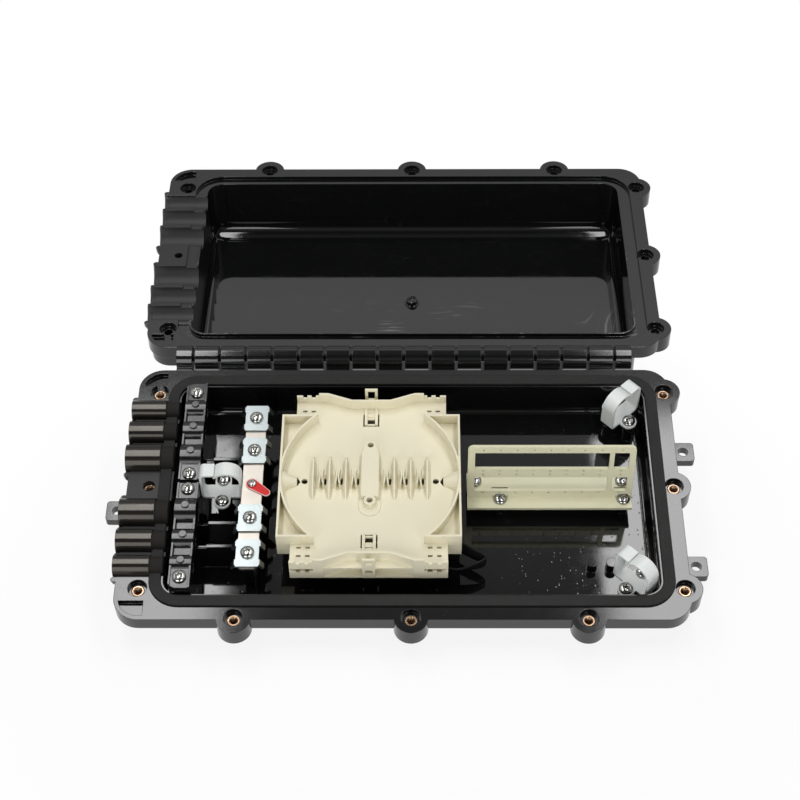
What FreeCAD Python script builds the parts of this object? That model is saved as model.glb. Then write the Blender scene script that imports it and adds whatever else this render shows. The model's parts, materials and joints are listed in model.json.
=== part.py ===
import FreeCAD, Part
import math
import os

# Hinged fibre splice closure lying open, with its base level. All sizes are in millimetres.
# +X runs along the hinge, +Y points to the hinge, +Z points up.
# The origin is on the underside, below the middle of the bolt pattern.

# Shells: reaches are measured from the middle of the bolt pattern
cavity_left = 175.0
cavity_right = 176.0
cavity_front = 92.5
cavity_back = 92.5
cavity_corner = 12.0
flange_left = 208.5
flange_right = 196.5
flange_front = 113.0
flange_back = 109.0
flange_corner = 18.0
flange_thick = 11.8
wall = 4.0
base_depth = 35.0
base_round = 4.0
lid_depth = 58.0
lid_round_end = 5.0
lid_round_side = 12.0
seam = 0.3
open_angle = 186.1
nub_radius = 4.2
nub_tip = 2.6
nub_high = 2.5

# Bolt bosses and their brass inserts
bolt_x = 192.5
bolt_y = 87.5
front_bolt_x = 123.5
front_bolt_y = 111.4
boss_radius = 12.3
boss_floor = 3.1
counterbore_radius = 6.8
counterbore_depth = 4.0
insert_radius = 4.4
insert_bore = 2.5
insert_length = 7.5
lid_bolt_radius = 3.3

# Sealing gasket, a closed loop that dips under the plugs on the port side
gasket_inset = 1.7
gasket_width = 8.2
gasket_proud = 1.6
gasket_end = 80.0
groove_depth = 4.0
groove_gap = 0.1
lid_groove_depth = 3.0
lid_groove_gap = 0.4
lid_land_depth = 1.7
neck_gap = 0.1

# Shallow pockets in the flange corners beside the ports
pocket_depth = 3.5
pocket_edge = 3.2
pocket_length = 18.0
pocket_width = 12.0

# Cable ports: radii from the middle outwards, the same on both sides
port_radii = (11.0, 9.0, 8.0)
port_web = 4.0
port_land = 13.3
port_sleeve = 5.0
port_overhang = 3.7
port_wall = 22.0
port_wall_inset = 2.0
sleeve_chamfer = 1.4
mouth_depth = 4.0
mouth_step = 0.8
seat_gap = 0.1
lid_port_gap = 0.3
plug_recess = 1.2
plug_neck_step = 1.2
plug_dish = 2.5

# Hinge
hinge_reach = 12.1
hinge_middle = -6.0
barrel_radius = 9.5
knuckle_count = 18
knuckle_length = 18.0
end_knuckle = 12.0
knuckle_gap = 2.3
pin_radius = 3.0
pin_gap = 0.05

# Fixing lugs, flush with the underside
lug_width = 17.0
lug_end = 8.3
lug_corner = 2.5
lug_thick = 6.5
lug_hole = 3.75
lug_right = 207.2
lug_left = 219.4
lug_left_y = -2.5
lug_spread = 51.5

# Screws. Shares are of the head's radius
thread_gap = 0.05
screw_shank = 2.0
screw_length = 7.0
screw_head = 5.0
tag_screw_head = 3.2
head_share = 0.66
drum_share = 0.30
crown_share = 0.62
cross_reach_share = 0.58
cross_width_share = 0.28
cross_depth_share = 0.34

# Cable clamp bars behind the ports, on a cross wall with half-round seats
clamp_x = -162.8
clamp_width = 15.5
clamp_rise = 2.0
clamp_pad = 4.0
clamp_band = 2.2
clamp_rail = 1.5
clamp_rail_rise = 7.0
clamp_inner = 1.5
clamp_outer = 91.0
clamp_screw_inner = 6.7
clamp_screw_outer = 82.0
clamp_nub = 2.7
clamp_nub_rise = 1.2
clamp_valley = 1.5
clamp_lid_gap = 1.0

# Earth bar with strength member clamps
bar_y = -1.6
bar_width = 14.8
bar_length = 145.0
bar_thick = 2.0
bar_wall = 7.0
saddle_pitch = 30.0
saddle_lap = 0.85
saddle_length = 23.2
saddle_thick = 1.5
saddle_ear = 4.5
saddle_corner = 0.6
tag_length = 13.0
tag_radius = 4.6
tag_tip = 3.0
tag_thick = 1.0
tag_turn = -36.0

# Ribs between the clamp wall and the bar wall
rib_thick = 2.5
rib_drop = 5.0
rib_rows = (28.0, -29.0, -49.0)

# Fibre clips
clip_lift = 18.0
clip_wide = 30.4
clip_gap = 0.55
clip_high = 28.5
clip_deep = 11.0
clip_band = 1.8
clip_corner = 4.0
clip_hump = 11.0
clip_tongue = 11.0
clip_tab = 12.0
clip_tab_reach = 9.5
clip_left_y = 3.5
clip_right_x = 158.7
clip_right_y = 74.5
clip_turn = 44.0

# Splice trays: places are measured from the tray's middle, heights from its underside
tube_lane = 12.65
tray_y = 1.0
tray_lift = 22.0
tray_high = 11.5
tray_wing_x = 66.1
tray_wing_y = 54.4
tray_end_x = 56.2
tray_end_y = 74.5
tray_waist = 6.3
waist_flat = 14.5
waist_reach = 32.5
ring_radius = 73.0
tray_wall = 1.6
tray_floor = 1.8
tray_bar_wide = 12.8
tray_bar_front = -16.5
tray_bar_back = 21.7
tray_bar_high = 5.0
tray_boss = 4.3
tray_boss_places = (29.5, -19.8)
tray_hole = 2.3
tray_hole_side = 48.0
apron_half = 8.0
apron_end = -22.6
apron_high = 0.8
holder_pitch = 12.0
holder_first = 11.7
holder_length = 13.0
holder_high = 7.0
holder_thick = 0.9
holder_bow = 1.3
holder_waist = 0.2
holder_window = (2.0, 3.7, -3.0, 2.5)
divider_length = 38.5
divider_middle = 2.85
divider_high = 5.5
divider_thick = 1.2
slot_wide = 3.2
slot_deep = 1.6
slot_columns = (43.6, 50.0)
slot_rows = (57.5, 64.5)
slot_block = 39.5
rim_drop = 2.8
notch_drop = 5.2
latch_half = 5.0
latch_slit = 1.0
latch_cut = 10.5
latch_back = 51.2
latch_front = 47.6
latch_rail = 2.2
latch_rail_high = 1.5
latch_window = (1.4, 5.6)
latch_step = (7.5, 10.0)
latch_step_high = 0.8
loop_half = 4.7
loop_bar = 2.1
loop_sill = 5.2
loop_high = 17.0
ramp_tip = 3.4
ramp_root = 9.2
ramp_end = 53.5
ramp_y = -0.6
ramp_window = ((53.5, -4.5), (51.0, -0.5), (53.5, 4.0))
strap_thick = 2.0
strap_route = ((-6.0, 14.5), (11.5, 3.0), (13.5, -0.5), (11.0, -4.0), (-0.5, -10.0), (-10.0, -7.0))
strap_high = 11.0

# Adapter panel, leaning back
panel_gap = 5.2
panel_wide = 121.5
panel_lift = 11.0
panel_thick = 2.5
panel_foot_front = -7.6
panel_foot_back = 24.0
panel_plate_y = 1.5
panel_high = 53.0
panel_lean = 8.5
panel_corner = 4.0
window_low = 7.6
window_heights = (14.2, 16.4)
window_pitch = 23.0
window_margin = 5.1
window_cell = 12.2
window_cells = 8
window_gap = 3.4
window_small = 11.0
dimple_radius = 0.9
dimple_above = 3.0
dimple_below = 1.8
panel_screw_front = 0.1
panel_screw_back = 16.4
panel_screw_inset = 6.0
panel_screw_step = 18.4
panel_notch_gap = 0.8
tie_slot_wide = 12.0
tie_slot_deep = 2.2
tie_slot_y = 10.0

# Floor posts
post_radius = 4.0
free_post_high = 8.0
free_posts = ((131.1, -51.2), (145.2, -51.2))
pilot_depth = 8.0

# Heights and lengths that follow from the ones above
parting = base_depth
floor_z = wall
boss_height = counterbore_depth + insert_length + boss_floor
hinge_y = flange_back + hinge_reach
hinge_length = (knuckle_count - 2) * knuckle_length + 2 * end_knuckle + (knuckle_count - 1) * knuckle_gap
port_face = -(flange_left + port_overhang)
clamp_seat = parting + clamp_rise
bar_base = parting + clamp_rise
bar_top = bar_base + bar_thick
tray_base = floor_z + tray_lift
panel_base = floor_z + panel_lift
clip_base = floor_z + clip_lift
clip_left_x = clamp_x + clamp_width / 2 + clip_gap + clip_wide / 2
bar_x = clip_left_x + clip_wide / 2 + clip_gap + bar_width / 2
tray_x = bar_x + bar_width / 2 + tube_lane + tray_wing_x
panel_left = tray_x + tray_wing_x + panel_gap
spare = 1.0


def at(x, y, z):
    """Point or direction."""
    return FreeCAD.Vector(x, y, z)


def block(x0, x1, y0, y1, z0, z1):
    """Box between two corners."""
    return Part.makeBox(x1 - x0, y1 - y0, z1 - z0, at(x0, y0, z0))


def upright(x, y, z0, z1, radius):
    """Vertical cylinder."""
    return Part.makeCylinder(radius, z1 - z0, at(x, y, z0))


def along_x(x0, x1, y, z, radius):
    """Cylinder lying along X."""
    return Part.makeCylinder(radius, x1 - x0, at(x0, y, z), at(1, 0, 0))


def joined(shapes):
    """One solid from touching or overlapping pieces."""
    if len(shapes) == 1:
        return shapes[0]
    return shapes[0].multiFuse(shapes[1:]).removeSplitter()


def carved(shape, tools):
    """Shape with every tool cut away."""
    return shape.cut(tools)


def prism(steps, plane, start, length):
    """Extruded outline. A step of two numbers is a corner, one of four is an arc's middle and end."""
    def put(u, v):
        if plane == "XY":
            return at(u, v, start)
        if plane == "XZ":
            return at(u, start, v)
        return at(start, u, v)

    edges = []
    here = steps[0][-2:]
    for step in steps[1:] + [steps[0][-2:]]:
        there = step[-2:]
        if len(step) == 4:
            edges.append(Part.Arc(put(*here), put(*step[:2]), put(*there)).toShape())
        elif math.dist(here, there) > 1e-6:
            edges.append(Part.makeLine(put(*here), put(*there)))
        here = there
    away = {"XY": at(0, 0, length), "XZ": at(0, length, 0), "YZ": at(length, 0, 0)}[plane]
    return Part.Face(Part.Wire(edges)).extrude(away)


def rounded(u0, u1, v0, v1, r):
    """Outline of a rectangle with four round corners."""
    k = r * (1 - math.sqrt(0.5))
    return [(u0 + r, v0), (u1 - r, v0), (u1 - k, v0 + k, u1, v0 + r), (u1, v1 - r),
            (u1 - k, v1 - k, u1 - r, v1), (u0 + r, v1), (u0 + k, v1 - k, u0, v1 - r), (u0, v0 + r),
            (u0 + k, v0 + k, u0 + r, v0)]


def trough(u0, u1, mouth, bottom, r):
    """Outline of a cross-section with round corners at its closed end only."""
    s = 1 if bottom > mouth else -1
    k = r * (1 - math.sqrt(0.5))
    return [(u0, mouth), (u0, bottom - s * r), (u0 + k, bottom - s * k, u0 + r, bottom), (u1 - r, bottom),
            (u1 - k, bottom - s * k, u1, bottom - s * r), (u1, mouth)]


def swapped(steps):
    """Outline with its two directions exchanged."""
    return [tuple(step[k] for k in ((1, 0) if len(step) == 2 else (1, 0, 3, 2))) for step in steps]


def tub(margin, mouth, bottom, round_end, round_side):
    """Solid in the cavity's outline plus a margin, rounded at its closed end."""
    x0 = -cavity_left - margin
    x1 = cavity_right + margin
    y0 = -cavity_front - margin
    y1 = cavity_back + margin
    low = min(mouth, bottom)
    high = abs(bottom - mouth)
    plan = prism(rounded(x0, x1, y0, y1, cavity_corner + margin), "XY", low, high)
    across = prism(trough(x0, x1, mouth, bottom, round_end), "XZ", y0, y1 - y0)
    lengthways = prism(trough(y0, y1, mouth, bottom, round_side), "YZ", x0, x1 - x0)
    return plan.common(across).common(lengthways)


def edge_bolts():
    """Bolt positions with a boss: front and right ones, then the two outer ones on the port side."""
    front = [(x, -front_bolt_y) for x in (-front_bolt_x, 0, front_bolt_x)]
    right = [(bolt_x, y) for y in (-bolt_y, 0, bolt_y)]
    left = [(-bolt_x, y) for y in (-bolt_y, bolt_y)]
    return front + right + left


def all_bolts():
    """Every bolt position, with the one between the ports last."""
    return edge_bolts() + [(-bolt_x, 0)]


def ports():
    """Centre and radius of each cable port across the closure."""
    rows = []
    edge = port_land
    for radius in port_radii:
        rows.append((edge + radius, radius))
        edge += 2 * radius + port_web
    return rows + [(-y, radius) for y, radius in rows]


def flange(face, away):
    """Flange plate with its bosses, from the parting face in the direction away (1 up, -1 down)."""
    def span(length):
        return min(face, face + away * length), length

    low, high = span(flange_thick)
    outline = rounded(-flange_left, flange_right, -flange_front, flange_back, flange_corner)
    plate = prism(outline, "XY", low, high)
    low, high = span(boss_height)
    return [plate] + [upright(x, y, low, low + high, boss_radius) for x, y in all_bolts()]


def port_end(face):
    """Deep wall above the flange on the lid's port side, which the ports run through."""
    inset = port_wall_inset
    corner = flange_corner - inset
    outline = rounded(inset - flange_left, 0, inset - flange_front, flange_back - inset, corner)
    outside = block(-cavity_left - wall / 2, 0, -flange_front, flange_back, face - spare, face + 2 * port_wall)
    return carved(prism(outline, "XY", face, port_wall), [outside])


def half_space(face, away):
    """Large block on one side of the parting face."""
    reach = 4 * flange_left
    z0, z1 = (face, face + reach) if away > 0 else (face - reach, face)
    return block(-reach, reach, -reach, reach, z0, z1)


def sleeves(face, away):
    """Half-round port sleeves with chamfered outer ends, on one side of the parting face."""
    half = half_space(face, away)
    shapes = []
    for y, r in ports():
        outer = r + port_sleeve
        tube = along_x(port_face + sleeve_chamfer, -cavity_left, y, face, outer)
        end = Part.makeCone(outer - sleeve_chamfer, outer, sleeve_chamfer, at(port_face, y, face), at(1, 0, 0))
        shapes.append(joined([tube, end]).common(half))
    return shapes


def port_bores(gap):
    """Cutters for the cable ports and their wider mouths."""
    tools = []
    for y, r in ports():
        tools.append(along_x(port_face - spare, -cavity_left + spare, y, parting, r + gap))
        mouth = r + gap + mouth_step
        tools.append(along_x(port_face - spare, port_face + mouth_depth, y, parting, mouth))
        lip = at(port_face, y, parting)
        tools.append(Part.makeCone(mouth + sleeve_chamfer, mouth, sleeve_chamfer, lip, at(1, 0, 0)))
    return tools


def seal_ring(extra, z0, z1):
    """Closed strip around the cavity, widened by extra on each side."""
    def ring(margin):
        corner = cavity_corner + margin
        return prism(rounded(-cavity_left - margin, cavity_right + margin, -cavity_front - margin,
                             cavity_back + margin, corner), "XY", z0, z1 - z0)

    return ring(gasket_inset + gasket_width + extra).cut(ring(gasket_inset - extra))


def port_side(z0, z1):
    """Block over the stretch of the seal that crosses the ports."""
    return block(-2 * flange_left, -cavity_left, -gasket_end, gasket_end, z0, z1)


def corner_pockets(z0):
    """Cutters for the pockets in the flange's two corners beside the ports, from z0 up."""
    x0 = -flange_left + pocket_edge
    y0 = -flange_front + pocket_edge
    reach = flange_corner - pocket_edge
    middle_x = x0 + reach
    middle_y = y0 + reach
    y1 = y0 + pocket_width
    start = middle_x - math.sqrt(reach ** 2 - (middle_y - y1) ** 2)
    bend = reach * math.sqrt(0.5)
    outline = [(start, y1), (middle_x - bend, middle_y - bend, middle_x, y0), (x0 + pocket_length, y0),
               (x0 + pocket_length, y1)]
    front = prism(outline, "XY", z0, pocket_depth + spare)
    middle = (flange_back - flange_front) / 2
    back = front.mirror(at(0, middle, 0), at(0, 1, 0))
    return [front, back]


def knuckles(first, away):
    """Hinge barrels with their webs: every second one, starting at the given index."""
    shapes = []
    x = hinge_middle - hinge_length / 2
    for index in range(knuckle_count):
        length = end_knuckle if index in (0, knuckle_count - 1) else knuckle_length
        if index % 2 == first:
            low, high = parting - barrel_radius, parting
            if away > 0:
                low, high = parting + seam, parting + barrel_radius
            shapes.append(along_x(x, x + length, hinge_y, parting, barrel_radius))
            shapes.append(block(x, x + length, flange_back - spare, hinge_y, low, high))
        x += length + knuckle_gap
    return shapes


def pin_bore():
    """Cutter for the hinge pin's hole."""
    reach = hinge_length / 2 + spare
    return along_x(hinge_middle - reach, hinge_middle + reach, hinge_y, parting, pin_radius + pin_gap)


def lugs():
    """Fixing lugs flush with the underside, with softly rounded outer corners."""
    shapes = []
    for x, y, root in lug_places():
        end = x + math.copysign(lug_end, x)
        outline = trough(y - lug_width / 2, y + lug_width / 2, root, end, lug_corner)
        shapes.append(prism(swapped(outline), "XY", 0, lug_thick))
    return shapes


def lug_places():
    """Hole position of each lug and the wall it grows from."""
    right = cavity_right + wall / 2
    left = -cavity_left - wall / 2
    return [(lug_right, lug_spread, right), (lug_right, -lug_spread, right), (-lug_left, lug_left_y, left)]


def clip_places():
    """Centre and turn of each fibre clip."""
    return [(clip_left_x, clip_left_y, 0), (clip_right_x, clip_right_y, clip_turn + 180),
            (clip_right_x, -clip_right_y, -clip_turn)]


def clip_screw_places():
    """Two screws for each fibre clip."""
    places = []
    for x, y, turn in clip_places():
        a = math.radians(turn + 90)
        for side in (1, -1):
            places.append((x + side * clip_tab_reach * math.cos(a), y + side * clip_tab_reach * math.sin(a)))
    return places


def clamp_screw_places():
    """Two screws for each cable clamp bar."""
    return [(clamp_x, side * y) for side in (1, -1) for y in (clamp_screw_inner, clamp_screw_outer)]


def saddle_places():
    """Screw positions of the strength member clamps along the earth bar."""
    return [(bar_x, bar_y + k * saddle_pitch) for k in (2, 1, -1, -2)]


def panel_screw_places():
    """Screws of the adapter panel's foot: two in front of the plate, two behind."""
    left = panel_left + panel_screw_inset
    right = panel_left + panel_wide - panel_screw_inset
    return [(left + panel_screw_step, panel_screw_front), (right, panel_screw_front),
            (left, panel_screw_back), (right, panel_screw_back)]


def tray_post_places():
    """Pillars under the trays."""
    reach_x = tray_wing_x - 6 * post_radius
    reach_y = tray_wing_y - 3 * post_radius
    return [(tray_x + i * reach_x, tray_y + j * reach_y) for i in (1, -1) for j in (1, -1)]


def floor_fittings():
    """Posts, walls and ribs that stand on the base's floor."""
    shapes = []
    root = floor_z - wall / 2
    for x, y in clip_screw_places():
        shapes.append(upright(x, y, root, clip_base, post_radius))
    for x, y in panel_screw_places():
        shapes.append(upright(x, y, root, panel_base, post_radius))
    for x, y in tray_post_places():
        shapes.append(upright(x, y, root, tray_base, post_radius))
    for x, y in free_posts:
        shapes.append(upright(x, y, root, floor_z + free_post_high, post_radius))
    x0 = clamp_x - clamp_width / 2
    x1 = clamp_x + clamp_width / 2
    shapes.append(block(x0, x1, -clamp_outer, clamp_outer, root, parting))
    shapes.append(block(x0, x1, -clamp_outer, clamp_outer, root, clamp_seat).common(lid_room()))
    half = (bar_length - bar_width) / 2
    shapes.append(block(bar_x - bar_wall / 2, bar_x + bar_wall / 2, bar_y - half, bar_y + half, root, bar_base))
    for y in rib_rows:
        shapes.append(block(x1 - spare, bar_x, y - rib_thick / 2, y + rib_thick / 2, root, parting - rib_drop))
    return shapes


def pilot_holes():
    """Cutters for every screw that goes into the base."""
    tops = [(place, clip_base) for place in clip_screw_places()]
    tops += [(place, panel_base) for place in panel_screw_places()]
    tops += [(place, clamp_seat) for place in clamp_screw_places()]
    tops += [(place, bar_base) for place in saddle_places() + [(bar_x, bar_y)]]
    return [upright(x, y, top - pilot_depth, top + spare, screw_shank + thread_gap) for (x, y), top in tops]


def base_shell():
    """Lower half with flange, ports, lugs, knuckles and everything moulded on its floor."""
    outer = tub(wall, parting - flange_thick / 2, 0, base_round + wall, base_round + wall)
    body = joined([outer] + flange(parting, -1) + sleeves(parting, -1) + knuckles(0, -1) + lugs())
    inner = tub(0, parting + spare, floor_z, base_round, base_round)
    body = carved(body, [inner])
    body = joined([body] + floor_fittings())
    x0 = clamp_x - clamp_width
    x1 = clamp_x + clamp_width
    tools = port_bores(seat_gap) + pilot_holes() + corner_pockets(parting - pocket_depth) + [pin_bore()]
    tools += [along_x(x0, x1, y, parting, r - clamp_band) for y, r in ports()]
    tools.append(seal_ring(groove_gap, parting - groove_depth, parting + spare))
    seat = parting - counterbore_depth
    tools += [upright(x, y, seat, parting + spare, counterbore_radius) for x, y in edge_bolts()]
    bottom = seat - insert_length
    tools += [upright(x, y, bottom, parting + spare, insert_radius + thread_gap) for x, y in all_bolts()]
    tools += [upright(x, y, -spare, lug_thick + spare, lug_hole) for x, y, root in lug_places()]
    return carved(body, tools)


def lid_shell():
    """Upper half, built closed and then swung open about the hinge."""
    face = parting + seam
    top = face + lid_depth
    outer = tub(wall, face + flange_thick / 2, top, lid_round_end + wall, lid_round_side + wall)
    body = joined([outer, port_end(face)] + flange(face, 1) + sleeves(face, 1) + knuckles(1, 1))
    inner = tub(0, face - spare, top - wall, lid_round_end, lid_round_side)
    nub = Part.makeCone(nub_tip, nub_radius, nub_high, at(0, 0, top - wall - nub_high))
    tools = [carved(inner, [nub]), pin_bore()] + port_bores(lid_port_gap) + corner_pockets(face - spare)
    low = face - spare
    deep = face + lid_groove_depth
    tools.append(carved(seal_ring(lid_groove_gap, low, deep), [port_side(low - spare, deep + spare)]))
    tools.append(seal_ring(lid_groove_gap, low, face + lid_land_depth))
    tools += [upright(x, y, low, face + counterbore_depth, counterbore_radius) for x, y in edge_bolts()]
    tools += [upright(x, y, low, face + boss_height + spare, lid_bolt_radius) for x, y in all_bolts()]
    body = carved(body, tools)
    body.rotate(at(0, hinge_y, parting), at(1, 0, 0), -open_angle)
    return body


def sealing_gasket():
    """Rubber loop in the base's groove, proud of the parting face, with a half ring under each plug's neck."""
    x0 = -cavity_left - gasket_inset - gasket_width
    x1 = -cavity_left - gasket_inset
    below = half_space(parting, -1)
    loop = [seal_ring(0, parting - groove_depth, parting + gasket_proud)]
    loop += [along_x(x0, x1, y, parting, r + seat_gap - groove_gap).common(below) for y, r in ports()]
    necks = [along_x(x0 - spare, x1 + spare, y, parting, r - plug_neck_step + neck_gap) for y, r in ports()]
    return carved(joined(loop), necks)


def threaded_inserts():
    """Brass inserts in the base's bolt bosses."""
    top = parting - counterbore_depth
    rings = []
    for x, y in all_bolts():
        body = upright(x, y, top - insert_length, top, insert_radius)
        rings.append(carved(body, [upright(x, y, top - insert_length - spare, top + spare, insert_bore)]))
    return Part.makeCompound(rings)


def port_plug(y, radius):
    """Blanking plug with a thinner neck on its inner side and a dished outer face."""
    x0 = port_face + plug_recess
    x1 = -cavity_left - spare / 2
    head = along_x(x0, -cavity_left - gasket_inset - gasket_width - neck_gap, y, parting, radius)
    neck = along_x(x0, x1, y, parting, radius - plug_neck_step)
    dish = along_x(x0 - spare, x0 + spare, y, parting, radius - plug_dish)
    return carved(joined([head, neck]), [dish])


def hinge_pin():
    """Rod through all knuckles."""
    reach = hinge_length / 2
    return along_x(hinge_middle - reach, hinge_middle + reach, hinge_y, parting, pin_radius)


def screw(x, y, seat, hole_top, head):
    """Pan head screw with a cross recess. Its head sits on seat and its shank starts above hole_top."""
    top = seat + head_share * head
    drum = seat + drum_share * head
    crown = Part.makeCone(head, crown_share * head, top - drum, at(x, y, drum))
    shank = upright(x, y, hole_top - screw_length, drum, screw_shank)
    body = joined([upright(x, y, seat, drum, head), crown, shank])
    reach = cross_reach_share * head
    half = cross_width_share * head / 2
    low = top - cross_depth_share * head
    cuts = [block(x - reach, x + reach, y - half, y + half, low, top + spare),
            block(x - half, x + half, y - reach, y + reach, low, top + spare)]
    return carved(body, cuts)


def screw_group(places, seat, hole_top, head=screw_head):
    """Several equal screws as one piece of several solids."""
    return Part.makeCompound([screw(x, y, seat, hole_top, head) for x, y in places])


def shank_holes(places, z0, z1):
    """Cutters for the holes that screws pass through."""
    return [upright(x, y, z0 - spare, z1 + spare, screw_shank + 2 * thread_gap) for x, y in places]


def lid_room():
    """Space that pieces above the parting face may take inside the closed lid."""
    x0 = clamp_lid_gap - cavity_left
    x1 = cavity_right - clamp_lid_gap
    y0 = clamp_lid_gap - cavity_front
    y1 = cavity_back - clamp_lid_gap
    return prism(rounded(x0, x1, y0, y1, cavity_corner), "XY", 0, parting + lid_depth)


def cable_clamp(side):
    """Clamp bar with an arch over each port on one side of the middle."""
    x0 = clamp_x - clamp_width / 2
    x1 = clamp_x + clamp_width / 2
    above = block(2 * x0, 0, -2 * clamp_outer, 2 * clamp_outer, clamp_seat, 2 * clamp_seat)
    rows = [(y, r) for y, r in ports() if y * side > 0]
    first = rows[0][0] * side - rows[0][1]
    last = rows[-1][0] * side + rows[-1][1]

    def strip(xa, xb, ya, yb, high):
        ya, yb = sorted((side * ya, side * yb))
        return block(xa, xb, ya, yb, clamp_seat, high)

    pad_top = clamp_seat + clamp_pad
    bite = clamp_band
    shapes = [strip(x0, x1, clamp_inner, first + bite, pad_top),
              strip(x0, x1, last - bite, clamp_outer, pad_top)]
    for xa in (x0, x1 - clamp_rail):
        shapes.append(strip(xa, xa + clamp_rail, clamp_inner, clamp_outer, parting + clamp_rail_rise))
    for y, r in rows:
        shapes.append(along_x(x0, x1, y, parting, r).common(above))
        shapes.append(upright(clamp_x, y, parting, parting + r + clamp_nub_rise, clamp_nub))
    for (y, r), (next_y, next_r) in zip(rows, rows[1:]):
        valley = (y * side + r - bite, next_y * side - next_r + bite)
        shapes.append(strip(x0, x1, *valley, clamp_seat + clamp_valley))
    tools = [along_x(x0 - spare, x1 + spare, y, parting, r - clamp_band) for y, r in rows]
    places = [(x, y) for x, y in clamp_screw_places() if y * side > 0]
    body = joined(shapes).common(lid_room())
    return carved(body, tools + shank_holes(places, clamp_seat, pad_top))


def earth_bar():
    """Flat strip on the bar wall."""
    half = bar_length / 2
    corner = 2 * bar_thick
    plan = rounded(bar_x - bar_width / 2, bar_x + bar_width / 2, bar_y - half, bar_y + half, corner)
    strip = prism(plan, "XY", bar_base, bar_thick)
    return carved(strip, shank_holes(saddle_places() + [(bar_x, bar_y)], bar_base, bar_top))


def strength_clamp(x, y):
    """Plate with four ears bent outwards and down beside the bar."""
    z0 = bar_top
    z1 = bar_top + saddle_thick
    half_w = bar_width / 2 + saddle_lap
    half_l = saddle_length / 2
    corner = saddle_corner
    shapes = [prism(rounded(x - half_w, x + half_w, y - half_l, y + half_l, corner), "XY", z0, saddle_thick)]
    for i in (1, -1):
        edge = x + i * (half_w - saddle_thick / 2)
        tip = x + i * (half_w + saddle_ear / 2)
        ear = [(edge, z0), (tip, z0 - saddle_ear), (tip + i * saddle_thick, z0 - saddle_ear + saddle_thick / 2),
               (edge + i * saddle_thick, z1), (edge, z1)]
        for j in (1, -1):
            start = y + j * (half_l - saddle_thick - saddle_ear / 2) - saddle_ear / 2
            shapes.append(prism(ear, "XZ", start, saddle_ear))
    return carved(joined(shapes), shank_holes([(x, y)], z0, z1))


def earth_tag():
    """Teardrop plate under its screw, turned off the bar."""
    z0 = bar_top
    big = upright(0, 0, z0, z0 + tag_thick, tag_radius)
    tip = upright(tag_length, 0, z0, z0 + tag_thick, tag_tip)
    lean = math.asin((tag_radius - tag_tip) / tag_length)
    s = math.sin(lean)
    c = math.cos(lean)
    sides = [(tag_radius * s, tag_radius * c), (tag_length + tag_tip * s, tag_tip * c),
             (tag_length + tag_tip * s, -tag_tip * c), (tag_radius * s, -tag_radius * c)]
    plate = joined([big, tip, prism(sides, "XY", z0, tag_thick)])
    plate.rotate(at(0, 0, 0), at(0, 0, 1), tag_turn)
    plate.translate(at(bar_x, bar_y, 0))
    return carved(plate, shank_holes([(bar_x, bar_y)], z0, z0 + tag_thick))


def fibre_clip(x, y, turn):
    """Split loop: a flat tongue on one side, a hump from the other side that dives under it."""
    half = clip_wide / 2
    low = -clip_deep / 2
    loop = prism(rounded(-half, half, 0, clip_high, clip_corner), "XZ", low, clip_deep)
    hole = prism(rounded(-half + clip_band, half - clip_band, clip_band, clip_high - clip_band,
                         clip_corner - clip_band), "XZ", low - spare, clip_deep + 2 * spare)
    tongue_end = -half + clip_tongue
    hump_x = half - clip_hump
    hump_z = clip_high + clip_band - clip_hump
    upper = block(tongue_end, 2 * half, 2 * low, -2 * low, hump_z, 2 * clip_high)
    frame = carved(loop, [hole, upper])
    drum = Part.makeCylinder(clip_hump, clip_deep, at(hump_x, low, hump_z), at(0, 1, 0))
    bore = Part.makeCylinder(clip_hump - clip_band, clip_deep, at(hump_x, low, hump_z), at(0, 1, 0))
    under = block(-2 * half, 2 * half, 2 * low, -2 * low, -clip_high, hump_z)
    tip = block(-2 * half, hump_x, 2 * low, -2 * low, -clip_high, hump_z + clip_hump / 2)
    hump = carved(drum, [bore, under, tip])
    shapes = [frame, hump]
    for side in (1, -1):
        reach = side * clip_tab_reach
        y0, y1 = sorted((0, reach))
        shapes.append(block(-clip_tab / 2, clip_tab / 2, y0, y1, 0, clip_band))
        shapes.append(upright(0, reach, 0, clip_band, clip_tab / 2))
    body = carved(joined(shapes), shank_holes([(0, clip_tab_reach), (0, -clip_tab_reach)], 0, clip_band))
    body.rotate(at(0, 0, 0), at(0, 0, 1), turn)
    body.translate(at(x, y, clip_base))
    return body


def tray_outline(inset, waist):
    """Tray's plan: two wings and two ends, whose middle is drawn in by waist between slanted edges."""
    ex = tray_end_x - inset
    ey = tray_end_y - inset
    wx = tray_wing_x - inset
    wy = tray_wing_y - inset
    shift = inset * math.tan(math.atan2(waist, waist_reach - waist_flat) / 2)
    outer = waist_reach + shift
    inner = waist_flat + shift
    quarter = [(ex, wy), (ex, ey), (outer, ey), (inner, ey - waist)]
    back = [(wx, wy)] + quarter + [(-x, y) for x, y in reversed(quarter)] + [(-wx, wy)]
    return back + [(x, -y) for x, y in reversed(back)]


def ring_walls():
    """Curved wall on each side, and the straight walls from its ends to the wings' outer corners."""
    shapes = []
    shift = ring_radius - tray_wing_x
    end = math.sqrt(ring_radius ** 2 - tray_wing_y ** 2) - shift - tray_wall / 2
    for i in (1, -1):
        core = upright(-i * shift, 0, -spare, tray_high + spare, ring_radius - tray_wall)
        x0, x1 = sorted((0, i * tray_wing_x))
        side = block(x0, x1, -tray_wing_y, tray_wing_y, 0, tray_high)
        shapes.append(carved(upright(-i * shift, 0, 0, tray_high, ring_radius), [core]).common(side))
        x0, x1 = sorted((i * end, i * tray_end_x))
        for j in (1, -1):
            y0, y1 = sorted((j * (tray_wing_y - tray_wall), j * tray_wing_y))
            shapes.append(block(x0, x1, y0, y1, 0, tray_high))
    return shapes


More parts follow.
